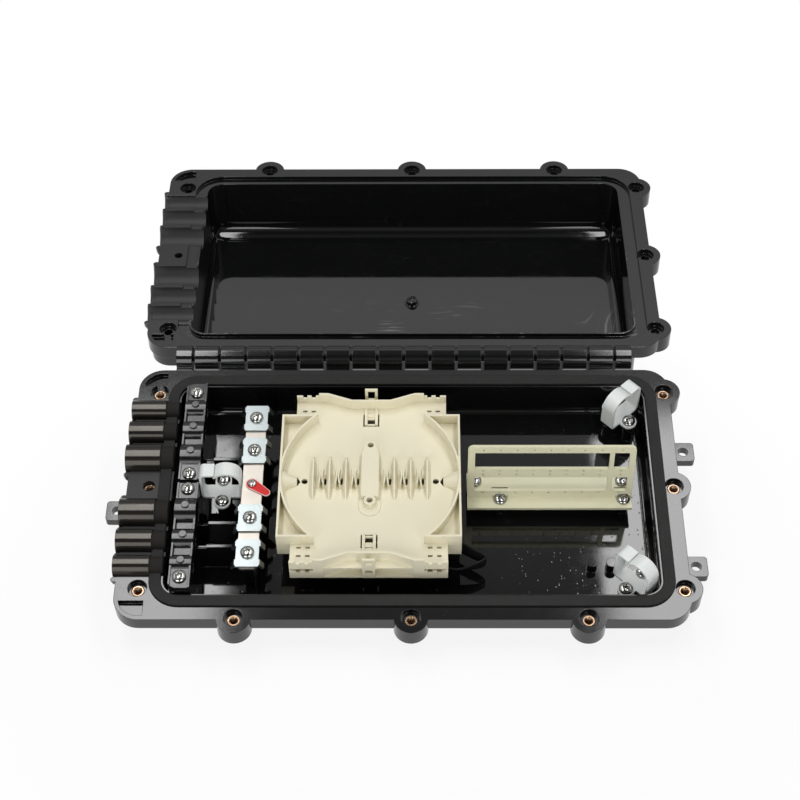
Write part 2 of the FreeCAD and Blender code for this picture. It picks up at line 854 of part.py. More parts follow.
def tray_side_gaps():
    """Cutters that leave the ends of the tray open at their sides, between the wings and the end rims."""
    tools = []
    for i in (1, -1):
        x0, x1 = sorted((i * (tray_end_x - 2 * tray_wall), i * (tray_end_x + spare)))
        for j in (1, -1):
            y0, y1 = sorted((j * tray_wing_y, j * (tray_end_y - tray_wall)))
            tools.append(block(x0, x1, y0, y1, tray_floor, tray_high + spare))
    return tools


def tray_ramps():
    """Half cones from the side walls towards the tray's middle."""
    root = tray_wing_x - tray_wall / 2
    cone = [Part.makeCone(ramp_tip, ramp_root, root - ramp_end, at(i * ramp_end, ramp_y, tray_floor), at(i, 0, 0))
            for i in (1, -1)]
    return [shape.common(half_space(0, 1)) for shape in cone]


def holder(x):
    """Pair of bowed fingers that grip a splice sleeve, nearest at their middle."""
    half = holder_length / 2
    fingers = []
    for i in (1, -1):
        a = x + i * holder_bow
        b = x + i * holder_waist
        outline = [(a, -half), (b, 0, a, half), (a + i * holder_thick, half),
                   (b + i * holder_thick, 0, a + i * holder_thick, -half)]
        fingers.append(prism(outline, "XY", 0, tray_floor + holder_high))
    return fingers


def holder_places():
    """Splice holders on both sides of the centre bar."""
    return [i * (holder_first + k * holder_pitch) for i in (1, -1) for k in range(3)]


def tray_bar():
    """Centre bar that tapers into its back boss, front boss, and a low round apron."""
    half = tray_bar_wide / 2
    back, front = tray_boss_places
    high = tray_floor + tray_bar_high
    outline = [(-half, tray_bar_front), (half, tray_bar_front), (half, tray_bar_back), (tray_boss, back),
               (-tray_boss, back), (-half, tray_bar_back)]
    low = tray_floor + apron_high
    bosses = [upright(0, y, 0, high, tray_boss) for y in (back, front)]
    apron = [block(-apron_half, apron_half, apron_end, tray_bar_front, 0, low),
             upright(0, apron_end, 0, low, apron_half)]
    return [prism(outline, "XY", 0, high)] + bosses + apron


def tray_grips():
    """Splice holders with a divider beside each."""
    shapes = []
    half = divider_length / 2
    top = tray_floor + divider_high
    y0 = divider_middle - half
    y1 = divider_middle + half
    slope = [(y0, 0), (y1, 0), (y1, tray_floor), (y1 - divider_high, top), (y0 + divider_high, top),
             (y0, tray_floor)]
    for x in holder_places():
        edge = x + math.copysign(holder_pitch / 2, x)
        shapes += holder(x) + [prism(slope, "YZ", edge - divider_thick / 2, divider_thick)]
    return shapes


def tray_latch(j, start):
    """Spring tongue at end j (1 back, -1 front): its rails and step, and the cutters that free it."""
    def strip(x0, x1, a, b, z0, z1):
        y0, y1 = sorted((j * (start + a), j * (start + b)))
        return block(x0, x1, y0, y1, z0, z1)

    inner = latch_half - latch_rail
    outer = latch_half + latch_slit
    root = tray_end_y - tray_waist - tray_wall / 2 - start
    over = tray_floor + spare
    rail = tray_floor + latch_rail_high
    shapes = [strip(-latch_half, -inner, 0, root, 0, rail), strip(inner, latch_half, 0, root, 0, rail),
              strip(-inner, inner, *latch_step, 0, tray_floor + latch_step_high)]
    tools = [strip(-outer, -latch_half, -latch_slit, latch_cut, -spare, over),
             strip(latch_half, outer, -latch_slit, latch_cut, -spare, over),
             strip(-latch_half, latch_half, -latch_slit, 0, -spare, over),
             strip(-inner, inner, *latch_window, -spare, over)]
    return shapes, tools


def tray_loop(j, top):
    """Upright frame on the lip at end j, up to top, and the cutter for its window."""
    inner = loop_half - loop_bar
    y0, y1 = sorted((j * (tray_end_y - tray_wall), j * tray_end_y))
    frame = block(-loop_half, loop_half, y0, y1, 0, top)
    return frame, block(-inner, inner, y0 - spare, y1 + spare, loop_sill, top - loop_bar)


def tray_slots():
    """Cutters for the tie slots in the four corners, with a lower, notched rim beside them."""
    tools = []
    over = tray_high + spare
    for i in (1, -1):
        for j in (1, -1):
            x0, x1 = sorted((i * slot_block, i * (tray_end_x + spare)))
            y0, y1 = sorted((j * (tray_end_y - 2 * tray_wall), j * (tray_end_y + spare)))
            tools.append(block(x0, x1, y0, y1, tray_high - rim_drop, over))
            for column in slot_columns:
                x0 = i * column - slot_wide / 2
                x1 = i * column + slot_wide / 2
                tools.append(block(x0, x1, y0, y1, tray_high - notch_drop, over))
                for row in slot_rows:
                    y = j * row - slot_deep / 2
                    tools.append(block(x0, x1, y, y + slot_deep, -spare, tray_floor + spare))
    return tools


def tray(base, back_loop):
    """Splice tray with its rim, ring wall, centre bar, holders, latches, ramps, slots and end loops."""
    plate = prism(tray_outline(0, 0), "XY", 0, tray_floor)
    hollow = prism(tray_outline(tray_wall, tray_waist), "XY", -spare, tray_high + 2 * spare)
    rim = carved(prism(tray_outline(0, tray_waist), "XY", 0, tray_high), [hollow])
    rim = carved(rim, tray_side_gaps())
    shapes = [plate, rim] + ring_walls() + tray_ramps() + tray_bar() + tray_grips()
    tools = tray_slots()
    for j, start, top in ((1, latch_back, back_loop), (-1, latch_front, tray_high)):
        latch, freeing = tray_latch(j, start)
        loop, window = tray_loop(j, top)
        shapes += latch + [loop]
        tools += freeing + [window]
    for i in (1, -1):
        tools.append(prism([(i * x, y) for x, y in ramp_window], "XY", -spare, tray_floor + 2 * spare))
    holes = [(0, y) for y in tray_boss_places] + [(tray_hole_side, 0), (-tray_hole_side, 0)]
    tools += [upright(x, y, -spare, tray_high, tray_hole) for x, y in holes]
    left, right, front, back = holder_window
    tools += [block(x + left, x + right, front, back, -spare, tray_floor + spare) for x in holder_places()]
    body = carved(joined(shapes), tools)
    body.translate(at(tray_x, tray_y, base))
    return body


def tray_strap():
    """Strap folded into a loop under the trays' front right corner."""
    corner_x = tray_x + tray_wing_x
    corner_y = tray_y - tray_wing_y
    low = tray_base - strap_high
    out, bend, tip, back, home, end = [at(corner_x + u, corner_y + v, low) for u, v in strap_route]
    path = [Part.makeLine(out, bend), Part.Arc(bend, tip, back).toShape(), Part.makeLine(back, home),
            Part.makeLine(home, end)]
    band = Part.Wire(path).makeOffset2D(strap_thick, openResult=True, fill=True)
    return band.extrude(at(0, 0, strap_high))


def adapter_panel():
    """Foot plate and a leaning plate with two rows of windows, as one bent piece."""
    x0 = panel_left
    x1 = panel_left + panel_wide
    z1 = panel_base + panel_thick
    foot = block(x0, x1, panel_foot_front, panel_foot_back, panel_base, z1)
    k = panel_corner * (1 - math.sqrt(0.5))
    outline = [(x0, -panel_thick), (x1, -panel_thick), (x1, panel_high - panel_corner),
               (x1 - k, panel_high - k, x1 - panel_corner, panel_high), (x0 + panel_corner, panel_high),
               (x0 + k, panel_high - k, x0, panel_high - panel_corner)]
    plate = prism(outline, "XZ", 0, panel_thick)
    left = x0 + window_margin
    long = window_cell * window_cells
    small = left + long + window_gap
    centres = [left + (n + 0.5) * window_cell for n in range(window_cells)] + [small + window_small / 2]
    tools = []
    for row in range(2):
        low = window_low + row * window_pitch
        high = low + window_heights[row]
        for a, b in ((left, left + long), (small, small + window_small)):
            tools.append(block(a, b, -spare, panel_thick + spare, low, high))
        for x in centres:
            for z in (low - dimple_below, high + dimple_above):
                tools.append(Part.makeCylinder(dimple_radius, spare, at(x, 0, z), at(0, 1, 0)))
    plate = carved(plate, tools)
    plate.rotate(at(0, 0, 0), at(1, 0, 0), -panel_lean)
    plate.translate(at(0, panel_plate_y, z1))
    under = block(x0 - spare, x1 + spare, panel_foot_front, panel_foot_back, 0, panel_base)
    body = joined([foot, carved(plate, [under])])
    places = panel_screw_places()
    cuts = shank_holes(places, panel_base, z1)
    notch = screw_head + panel_notch_gap
    top = z1 + head_share * screw_head + panel_notch_gap
    for x, y in places[:2]:
        cuts.append(block(x - notch, x + notch, y - notch, y + notch, z1, top))
    for x in (places[0][0], places[1][0]):
        y0 = tie_slot_y - tie_slot_deep / 2
        cuts.append(block(x - tie_slot_wide / 2, x + tie_slot_wide / 2, y0, y0 + tie_slot_deep, 0, z1 + spare))
    return carved(body, cuts)


nodes = {
    "base_shell": base_shell(),
    "lid_shell": lid_shell(),
    "hinge_pin": hinge_pin(),
    "sealing_gasket": sealing_gasket(),
    "threaded_inserts": threaded_inserts(),
    "cable_clamp_rear": cable_clamp(1),
    "cable_clamp_front": cable_clamp(-1),
    "clamp_bar_screws": screw_group(clamp_screw_places(), clamp_seat + clamp_pad, clamp_seat),
    "earth_bar": earth_bar(),
    "strength_clamp_screws": screw_group(saddle_places(), bar_top + saddle_thick, bar_base),
    "earth_tag": earth_tag(),
    "earth_tag_screw": screw_group([(bar_x, bar_y)], bar_top + tag_thick, bar_base, tag_screw_head),
    "clip_screws": screw_group(clip_screw_places(), clip_base + clip_band, clip_base),
    "lower_tray": tray(tray_base, tray_high),
    "upper_tray": tray(tray_base + tray_high, loop_high),
    "tray_strap": tray_strap(),
    "adapter_panel": adapter_panel(),
    "panel_screws": screw_group(panel_screw_places(), panel_base + panel_thick, panel_base),
}
for number, (port_y, port_radius) in enumerate(ports(), 1):
    nodes["port_plug_%d" % number] = port_plug(port_y, port_radius)
for number, (saddle_x, saddle_y) in enumerate(saddle_places(), 1):
    nodes["strength_clamp_%d" % number] = strength_clamp(saddle_x, saddle_y)
for name, place in zip(("left", "rear", "front"), clip_places()):
    nodes["fibre_clip_" + name] = fibre_clip(*place)

os.makedirs("parts", exist_ok=True)
for name, shape in nodes.items():
    shape.exportStep("parts/%s.step" % name)
    box = shape.BoundBox
    print("%-22s solids %2d valid %s  x %.1f..%.1f y %.1f..%.1f z %.1f..%.1f" % (
        name, len(shape.Solids), shape.isValid(), box.XMin, box.XMax, box.YMin, box.YMax, box.ZMin, box.ZMax))
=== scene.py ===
import json
import math
import bpy
from mathutils import Euler, Matrix, Vector


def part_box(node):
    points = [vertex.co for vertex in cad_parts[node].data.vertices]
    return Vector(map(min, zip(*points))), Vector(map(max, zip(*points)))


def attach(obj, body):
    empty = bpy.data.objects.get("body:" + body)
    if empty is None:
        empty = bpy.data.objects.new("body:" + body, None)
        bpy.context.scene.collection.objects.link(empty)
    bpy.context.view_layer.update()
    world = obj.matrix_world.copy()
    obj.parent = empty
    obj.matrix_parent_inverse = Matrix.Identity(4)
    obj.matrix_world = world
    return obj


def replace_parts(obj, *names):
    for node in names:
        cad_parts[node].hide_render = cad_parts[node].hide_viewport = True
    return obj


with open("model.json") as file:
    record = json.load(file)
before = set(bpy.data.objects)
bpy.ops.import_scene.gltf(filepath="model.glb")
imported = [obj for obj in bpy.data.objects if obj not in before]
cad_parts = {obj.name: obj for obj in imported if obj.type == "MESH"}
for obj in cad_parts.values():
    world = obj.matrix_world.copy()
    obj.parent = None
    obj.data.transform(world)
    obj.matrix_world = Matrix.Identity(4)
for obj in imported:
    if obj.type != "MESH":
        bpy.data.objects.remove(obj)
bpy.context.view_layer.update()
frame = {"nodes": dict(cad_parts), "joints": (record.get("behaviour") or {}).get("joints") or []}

bl_info = {
    "name": "Fibre Splice Closure",
    "version": (1, 0, 0),
    "blender": (4, 5, 0),
    "location": "View3D > Sidebar > Closure",
    "description": "Dresses the open splice closure: shells, seal, plugs, clamps, trays, panel and screws",
    "category": "Object",
}

MM = 0.001
PLUGS = ["port_plug_%d" % n for n in range(1, 7)]
SADDLES = ["strength_clamp_%d" % n for n in range(1, 5)]
CLIPS = ["fibre_clip_left", "fibre_clip_rear", "fibre_clip_front"]
# Upper and lower edge of the strap in mm, from under the trays round the loop and back
STRAP_UPPER = ((26, -36, 25.7), (37.5, -44, 25.4), (49.3, -50.6, 24.4), (55.5, -53.9, 24),
               (50.8, -57.4, 23.8), (44.3, -60.6, 23.4), (36.1, -64.4, 22.8), (27, -65, 23.5),
               (19, -58, 25.7))
STRAP_LOWER = ((26, -36, 12), (37.5, -44, 12), (48.9, -51, 13), (54.8, -54.6, 15.3), (51.3, -57.8, 15.3),
               (45.5, -59, 15), (37, -58.8, 15), (28, -60, 15), (20, -56, 16))
SCREW_SETS = ["clamp_bar_screws", "strength_clamp_screws", "earth_tag_screw", "clip_screws", "panel_screws"]
# Each rise of the lid's stub from its foot, as a share of its height, and how far it draws in.
# Above the snap, also a share of its height, the neck leans
STUB_RISES = ((0.1, 1), (0.1, 0.93), (0, 0.84), (0.75, 0.93), (0.05, 0.93), (0, 0.72), (-0.25, 0.86))
STUB_LEAN = math.radians(9)
STUB_SUNK = 0.1 * MM
STUB_SNAP = 0.6
HEAD_SIDES, RING_SIDES, STUB_SIDES = 48, 40, 36
CROWN_STEPS = 7
CROWN_END = math.radians(80)
CROSS_TAPER = 0.45
DOWNWARD = -0.9
SCREW_TURN, SCREW_START = 37, 11
MERGE = 0.001 * MM
# Grid of the node editor
NODE_ROWS = 6
NODE_STEP, NODE_DROP, NODE_REACH = 220, 300, 2400
# Tones, shares and forms of marks on a surface
SCUFF_TONE = (0.16, 0.16, 0.155, 1)
RUB_TONE = (0.24, 0.24, 0.235, 1)
EDGE_TONE = (0.06, 0.06, 0.06, 1)
DUST_TONE = (0.42, 0.41, 0.38, 1)
BLOOM_TONE = (0.2, 0.2, 0.18, 1)
NECK_SHEEN = (1.0, 0.95, 0.86, 1)
NECK_ROUGHNESS, NECK_SHINE = 0.8, 0.38
DUST_SHARE, BLOOM_SHARE, EDGE_SHARE = 0.5, 0.18, 0.1
CAVITY_GRAIN = 0.35
RUB_STRETCH = (40, 420, 40)
SCUFF_BEND = (0.03, 0.03, 0.03)
# Roughness at both ends of a pattern, plain or as shares of a finish
PLASTIC_SHARES, SATIN_SHARES, SHEEN_SHARES = (0.8, 1.25), (0.85, 1.2), (0.6, 1.9)
TAG_ROUGHNESS, SEAL_ROUGHNESS, STRAP_ROUGHNESS = (0.36, 0.46), (0.55, 0.75), (0.85, 0.65)
# Ranges over which an effect comes in
NOISE = (0.3, 0.7)
FILM = (0.48, 0.75)
RUB_STROKE = (0.54, 0.68)
RUB_PATCH = (0.48, 0.58)
RUB_SIDE = (-10 * MM, 30 * MM)
LEVEL_FACE = (0.90, 0.97)
WORN_EDGE = (0.98, 0.75)
TAG_EDGE = (0.005, 0.06)
FRONT_ROOM = (-0.35, 0.05)
LOW_ROOM = (0.48, 0.60)
MASK_EDGE = 0.6 * MM
DEPTH_EDGE = 0.3 * MM
NECK_EDGE = 0.5 * MM
LAND_PAST = 2 * MM
# Floor and camera
FLOOR_SPAN = 8
SENSOR, NEAREST, FARTHEST = 36, 0.05, 50


# Sizes and colours that a user would change

def length(label, text, default):
    """Length property in metres."""
    return bpy.props.FloatProperty(name=label, description=text, default=default, unit="LENGTH", precision=5)


def colour(label, text, default):
    """Linear colour property."""
    return bpy.props.FloatVectorProperty(name=label, description=text, default=default, subtype="COLOR",
                                         size=3, min=0, max=1)


def amount(label, text, default, top=1.0):
    """Plain factor property."""
    return bpy.props.FloatProperty(name=label, description=text, default=default, min=0, max=top,
                                   subtype="FACTOR")


def tilt(label, text, degrees):
    """Angle property, given in degrees."""
    return bpy.props.FloatProperty(name=label, description=text, default=math.radians(degrees),
                                   subtype="ANGLE")


def power(label, text, watts):
    """Lamp power property."""
    return bpy.props.FloatProperty(name=label, description=text, default=watts, unit="POWER")


def spot(label, text, default):
    """Place property in metres."""
    return bpy.props.FloatVectorProperty(name=label, description=text, default=default, size=3,
                                         subtype="TRANSLATION")


def area(label, text, default):
    """Width and depth property in metres."""
    return bpy.props.FloatVectorProperty(name=label, description=text, default=default, size=2, unit="LENGTH")


class ClosureColours(bpy.types.PropertyGroup):
    """Colours of the closure's materials."""
    shell: colour("Shell", "Moulded black of both shells", (0.0046, 0.0048, 0.0050))
    plug: colour("Plugs", "Brownish black of the port plugs", (0.014, 0.0122, 0.0108))
    neck: colour("Plug necks", "Dull black of the plugs' necks", (0.0045, 0.0045, 0.0045))
    rubber: colour("Seal", "Rubber of the seal", (0.0105, 0.0105, 0.010))
    clamp: colour("Cable clamps", "Black of the clamp bars", (0.0075, 0.0075, 0.008))
    strap: colour("Strap", "Black of the woven strap", (0.0045, 0.0045, 0.005))
    brass: colour("Inserts", "Brass of the threaded inserts", (0.44, 0.29, 0.19))
    steel: colour("Screws", "Bright plated steel", (0.46, 0.46, 0.44))
    pin: colour("Hinge pin", "Blackened steel of the hinge pin", (0.02, 0.02, 0.02))
    zinc: colour("Saddle plates", "Zinc plate with a blue cast", (0.37, 0.408, 0.41))
    bar: colour("Earth bar", "Pale plated strip", (0.46, 0.424, 0.378))
    tag: colour("Earth tag", "Red paint of the tag", (0.62, 0.016, 0.014))
    tag_rim: colour("Earth tag rim", "Pale line around the tag", (0.80, 0.72, 0.68))
    clip: colour("Fibre clips", "Light grey plastic", (0.72, 0.75, 0.735))
    tray: colour("Trays", "Ivory plastic", (0.78, 0.73, 0.55))
    panel: colour("Panel", "Beige plastic", (0.70, 0.68, 0.48))


class ClosureFinish(bpy.types.PropertyGroup):
    """Finishes of the closure's surfaces."""
    flange_roughness: amount("Flange roughness", "Satin of the flanges", 0.10)
    cavity_roughness: amount("Cavity roughness", "Gloss of the moulded floors", 0.05)
    land_roughness: amount("Land roughness", "Dullness of the shells around the ports", 0.55)
    shine: amount("Shine", "Strength of the shells' mirror gloss", 0.6)
    edge: length("Edge softness", "Rounding of the small moulded edges", 0.35 * MM)
    shell_edge: length("Shell edge softness", "Rounding of the shells' edges", 0.6 * MM)
    rubs: amount("Rub marks", "How much the lid's floor is rubbed", 0.6)
    scuff: amount("Scuffs", "How much the shells are scuffed", 0.10)
    dust: amount("Dust", "How much pale dust lies on the black parts", 0.5)


class ClosureSizes(bpy.types.PropertyGroup):
    """Sizes of the modelled pieces, and of what the materials follow."""
    head_high: amount("Head height", "Height of a pan head as a share of its radius", 0.66)
    head_drum: amount("Head drum", "Straight part of a pan head as a share of its radius", 0.20)
    cross_reach: amount("Cross reach", "Reach of the cross recess as a share of the head's radius", 0.75)
    cross_width: amount("Cross width", "Width of the cross recess as a share of the head's radius", 0.34)
    cross_depth: amount("Cross depth", "Depth of the cross recess as a share of the head's radius", 0.50)
    insert_bore: length("Insert bore", "Radius of the bore in a threaded insert", 2.5 * MM)
    insert_chamfer: length("Insert chamfer", "Chamfer at the top of a threaded insert", 0.35 * MM)
    thread_pitch: length("Thread pitch", "Pitch of the inserts' thread", 0.8 * MM)
    thread_depth: length("Thread depth", "Depth of the inserts' thread", 0.4 * MM)
    tag_line: length("Tag line", "Reach of the pale line around the tag", 1.2 * MM)
    wall: length("Wall", "Thickness of the shells' walls", 4.0 * MM)
    seal_width: length("Seal width", "Width of the seal", 8.2 * MM)
    stub_foot: length("Stub foot", "Radius of the foot of the lid's moulding stub", 6.0 * MM)
    stub_high: length("Stub height", "Height of the lid's moulding stub", 4.2 * MM)
    strap_thick: length("Strap thickness", "Thickness of the strap", 1.6 * MM)


class ClosureStage(bpy.types.PropertyGroup):
    """Camera, floor and light."""
    lens: bpy.props.FloatProperty(name="Lens", description="Focal length of the camera", default=77.77,
                                  unit="CAMERA")
    place: spot("Camera place", "Where the camera stands", (0.0041, -0.7280, 1.0735))
    pitch: tilt("Pitch", "How far the camera looks down", 52.12)
    yaw: tilt("Yaw", "How far the camera turns to the right", -0.904)
    roll: tilt("Roll", "How far the camera leans", -0.750)
    floor: colour("Floor", "Pale floor", (0.9, 0.9, 0.9))
    floor_glow: amount("Floor white", "Share of the floor by the closure that shows as plain white", 0.86)
    floor_near: length("Floor near", "Reach from the closure's middle where the floor takes the shadow", 0.22)
    floor_far: length("Floor far", "Reach from the closure's middle where the floor turns plain white", 0.36)
    side_light: power("Side lamps", "Power of each lamp above the closure's ends", 4.6)
    side_place: spot("Side lamp place", "Where the right side lamp hangs", (0.355, 0.305, 1.0))
    side_size: area("Side lamp size", "Width and depth of a side lamp", (0.18, 1.0))
    front_light: power("Front lamps", "Power of each lamp in front", 4.4)
    front_place: spot("Front lamp place", "Where the right front lamp is", (0.5, -0.95, 0.45))
    front_size: area("Front lamp size", "Width and height of a front lamp", (0.5, 0.8))
    room: amount("Room light", "Even light of the room", 0.16)
    front_room: amount("Front of the room", "Brightness on the camera's side in mirrors, as a share", 0.25)
    low_room: amount("Low room", "Brightness near the horizon in mirrors, as a share", 0.45)
    ceiling: amount("Ceiling", "Brightness of the room overhead in mirror reflections", 0.14)
    horizon: amount("Horizon", "Rise of a mirror ray up to which the room shows white", 0.68)
    overhead: amount("Overhead", "Rise of a mirror ray from which the room shows dark", 0.88)


def colours():
    return bpy.context.scene.closure_colours


def finish():
    return bpy.context.scene.closure_finish


def sizes():
    return bpy.context.scene.closure_sizes


def stage():
    return bpy.context.scene.closure_stage


# Nodes of materials and groups

def put(tree, kind, inputs=None, **settings):
    """Adds a node, in columns in the order made. An input that is a socket is linked, any other is set."""
    column, row = divmod(len(tree.nodes), NODE_ROWS)
    node = tree.nodes.new(kind)
    node.location = (NODE_STEP * column - NODE_REACH, -NODE_DROP * row)
    for key, value in settings.items():
        setattr(node, key, value)
    for key, value in (inputs or {}).items():
        if isinstance(value, bpy.types.NodeSocket):
            tree.links.new(value, node.inputs[key])
        else:
            node.inputs[key].default_value = value
    return node


def maths(tree, operation, a, b=0.0, c=0.0):
    """Maths node's output."""
    return put(tree, "ShaderNodeMath", {0: a, 1: b, 2: c}, operation=operation).outputs[0]


def blend_colours(tree, factor, a, b):
    """Mixed colour."""
    return put(tree, "ShaderNodeMix", {0: factor, 6: a, 7: b}, data_type="RGBA").outputs[2]


def blend_values(tree, factor, a, b):
    """Mixed value."""
    return put(tree, "ShaderNodeMix", {0: factor, 2: a, 3: b}, data_type="FLOAT").outputs[0]


def ramp(tree, value, low, high, start=0.0, end=1.0):
    """Value taken from low..high to start..end, held at both ends."""
    return put(tree, "ShaderNodeMapRange", {0: value, 1: low, 2: high, 3: start, 4: end}).outputs[0]


def opaque(rgb):
    """Colour with full alpha."""
    return (*rgb, 1.0)


def shade(rgb, gain, lift=0.0):
    """Darker or paler colour with full alpha."""
    return opaque([min(1, gain * part + lift) for part in rgb])


def ends(roughness, shares):
    """Roughness at both ends of a pattern."""
    return [min(1, roughness * share) for share in shares]


def new_group(name, inputs, outputs):
    """Empty node group and what it takes and gives. A socket has a kind, or a number as its default."""
    tree = bpy.data.node_groups.new(name, "ShaderNodeTree")
    kinds = {"vector": "NodeSocketVector", "colour": "NodeSocketColor"}
    value = "NodeSocketFloat"
    for label, kind in inputs.items():
        socket = tree.interface.new_socket(label, in_out="INPUT", socket_type=kinds.get(kind, value))
        if kind not in kinds:
            socket.default_value = kind
    for label, kind in outputs.items():
        tree.interface.new_socket(label, in_out="OUTPUT", socket_type=kinds.get(kind, value))
    entry = put(tree, "NodeGroupInput")
    leave = put(tree, "NodeGroupOutput")
    leave.location = (0, 0)
    return tree, entry.outputs, leave.inputs


def use_group(tree, name, inputs):
    """Places a built group in a material and gives its first output."""
    return put(tree, "ShaderNodeGroup", inputs, node_tree=bpy.data.node_groups[name]).outputs[0]


def noise(tree, where, scale, detail, roughness=0.5, distortion=0.0):
    """Noise pattern's value."""
    return put(tree, "ShaderNodeTexNoise", {
        "Vector": where, "Scale": scale, "Detail": detail, "Roughness": roughness,
        "Distortion": distortion}).outputs["Fac"]


def split(tree, where):
    """Vector's three parts."""
    return put(tree, "ShaderNodeSeparateXYZ", {0: where}).outputs


def build_grain_group():
    """Fine moulded texture over a slow waviness, as a height."""
    tree, entry, leave = new_group("moulded_grain", {
        "Vector": "vector", "Grain Scale": 2500.0, "Wave Scale": 60.0, "Wave Share": 0.3},
        {"Height": "value"})
    vector = entry["Vector"]
    fine = noise(tree, vector, entry["Grain Scale"], detail=2.0, roughness=0.6)
    wave = noise(tree, vector, entry["Wave Scale"], detail=1.0)
    height = blend_values(tree, entry["Wave Share"], fine, wave)
    tree.links.new(height, leave["Height"])


def build_scuff_group():
    """Thin crossing scratches that fade in and out, as a mask."""
    tree, entry, leave = new_group("scuffs", {
        "Vector": "vector", "Scale": 30.0, "Width": 0.02, "Cover": 0.5}, {"Mask": "value"})
    vector = entry["Vector"]
    bent = put(tree, "ShaderNodeTexNoise", {"Vector": vector, "Scale": 14.0, "Detail": 2.0})
    shift = put(tree, "ShaderNodeVectorMath", {
        0: bent.outputs["Color"], 1: SCUFF_BEND}, operation="MULTIPLY")
    moved = put(tree, "ShaderNodeVectorMath", {0: vector, 1: shift.outputs[0]}, operation="ADD")
    lines = put(tree, "ShaderNodeTexVoronoi", {
        "Vector": moved.outputs[0], "Scale": entry["Scale"]}, feature="DISTANCE_TO_EDGE")
    thin = ramp(tree, lines.outputs["Distance"], 0.0, entry["Width"], 1.0, 0.0)
    patch = noise(tree, vector, scale=45.0, detail=3.0)
    low = maths(tree, "SUBTRACT", 1.0, entry["Cover"])
    shown = ramp(tree, patch, low, 1.0)
    mask = maths(tree, "MULTIPLY", thin, shown)
    tree.links.new(mask, leave["Mask"])


def build_rub_group():
    """Short strokes in loose patches, as a mask."""
    tree, entry, leave = new_group("rub_marks", {
        "Vector": "vector", "Turn": -0.75, "Swing": 1.4, "Patch Scale": 12.0}, {"Mask": "value"})
    vector = entry["Vector"]
    sway = noise(tree, vector, scale=9.0, detail=1.0)
    angle = maths(tree, "MULTIPLY_ADD", sway, entry["Swing"], entry["Turn"])
    turned = put(tree, "ShaderNodeVectorRotate", {"Vector": vector, "Angle": angle}, rotation_type="Z_AXIS")
    drawn = put(tree, "ShaderNodeMapping", {"Vector": turned.outputs[0], "Scale": RUB_STRETCH})
    strokes = noise(tree, drawn.outputs[0], scale=1.0, detail=2.0)
    thin = ramp(tree, strokes, *RUB_STROKE)
    patch = noise(tree, vector, entry["Patch Scale"], detail=2.0)
    shown = ramp(tree, patch, *RUB_PATCH)
    tree.links.new(maths(tree, "MULTIPLY", thin, shown), leave["Mask"])


def build_dust_group():
    """Scattered pale specks, as a mask."""
    tree, entry, leave = new_group("dust", {
        "Vector": "vector", "Scale": 420.0, "Size": 0.12, "Amount": 0.3}, {"Mask": "value"})
    cells = put(tree, "ShaderNodeTexVoronoi", {
        "Vector": entry["Vector"], "Scale": entry["Scale"]}, feature="F1")
    dot = ramp(tree, cells.outputs["Distance"], 0.0, entry["Size"], 1.0, 0.0)
    parts = put(tree, "ShaderNodeSeparateColor", {0: cells.outputs["Color"]})
    few = maths(tree, "LESS_THAN", parts.outputs[0], entry["Amount"])
    mask = maths(tree, "MULTIPLY", dot, few)
    tree.links.new(mask, leave["Mask"])


def build_drift_group():
    """Slow change of a colour's brightness over the surface."""
    tree, entry, leave = new_group("colour_drift", {
        "Vector": "vector", "Colour": "colour", "Scale": 25.0, "Spread": 0.1}, {"Colour": "colour"})
    cloud = noise(tree, entry["Vector"], entry["Scale"], detail=4.0)
    centred = maths(tree, "SUBTRACT", cloud, 0.5)
    share = maths(tree, "MULTIPLY_ADD", centred, entry["Spread"], 1.0)
    tint = put(tree, "ShaderNodeVectorMath", {0: entry["Colour"], "Scale": share}, operation="SCALE")
    tree.links.new(tint.outputs[0], leave["Colour"])


def build_edge_group():
    """Rounded normal at sharp edges, and a mask of those edges."""
    tree, entry, leave = new_group("soft_edge", {"Radius": 0.4 * MM}, {"Normal": "vector", "Mask": "value"})
    soft = put(tree, "ShaderNodeBevel", {"Radius": entry["Radius"]}, samples=6)
    face = put(tree, "ShaderNodeNewGeometry")
    cosine = put(tree, "ShaderNodeVectorMath", {
        0: soft.outputs[0], 1: face.outputs["Normal"]}, operation="DOT_PRODUCT")
    mask = ramp(tree, cosine.outputs["Value"], *WORN_EDGE)
    tree.links.new(soft.outputs[0], leave["Normal"])
    tree.links.new(mask, leave["Mask"])


def build_groups():
    """All shared effects, built once."""
    build_grain_group()
    build_scuff_group()
    build_rub_group()
    build_dust_group()
    build_drift_group()
    build_edge_group()


def new_material(name, shine=0.5):
    """Material with its tree, shader and Object coordinates. Shine is the strength of its mirror gloss."""
    material = bpy.data.materials.new(name)
    material.use_nodes = True
    tree = material.node_tree
    shader = tree.nodes["Principled BSDF"]
    shader.inputs["Specular IOR Level"].default_value = shine
    coordinates = put(tree, "ShaderNodeTexCoord").outputs["Object"]
    return material, tree, shader, coordinates


def soft_edge(tree, radius):
    """Normal that rounds the edges, and the mask of those edges."""
    group = bpy.data.node_groups["soft_edge"]
    return put(tree, "ShaderNodeGroup", {"Radius": radius}, node_tree=group).outputs


def soft_bump(tree, height, depth, radius):
    """Normal that rounds the edges and carries a height of the given depth in metres."""
    normal, edge = soft_edge(tree, radius)
    bump = put(tree, "ShaderNodeBump", {
        "Strength": 1.0, "Distance": depth, "Height": height, "Normal": normal})
    return bump.outputs[0], edge


def wire(tree, shader, tone, rough, normal):
    """Links a material's colour, roughness and normal."""
    tree.links.new(tone, shader.inputs["Base Color"])
    tree.links.new(rough, shader.inputs["Roughness"])
    tree.links.new(normal, shader.inputs["Normal"])


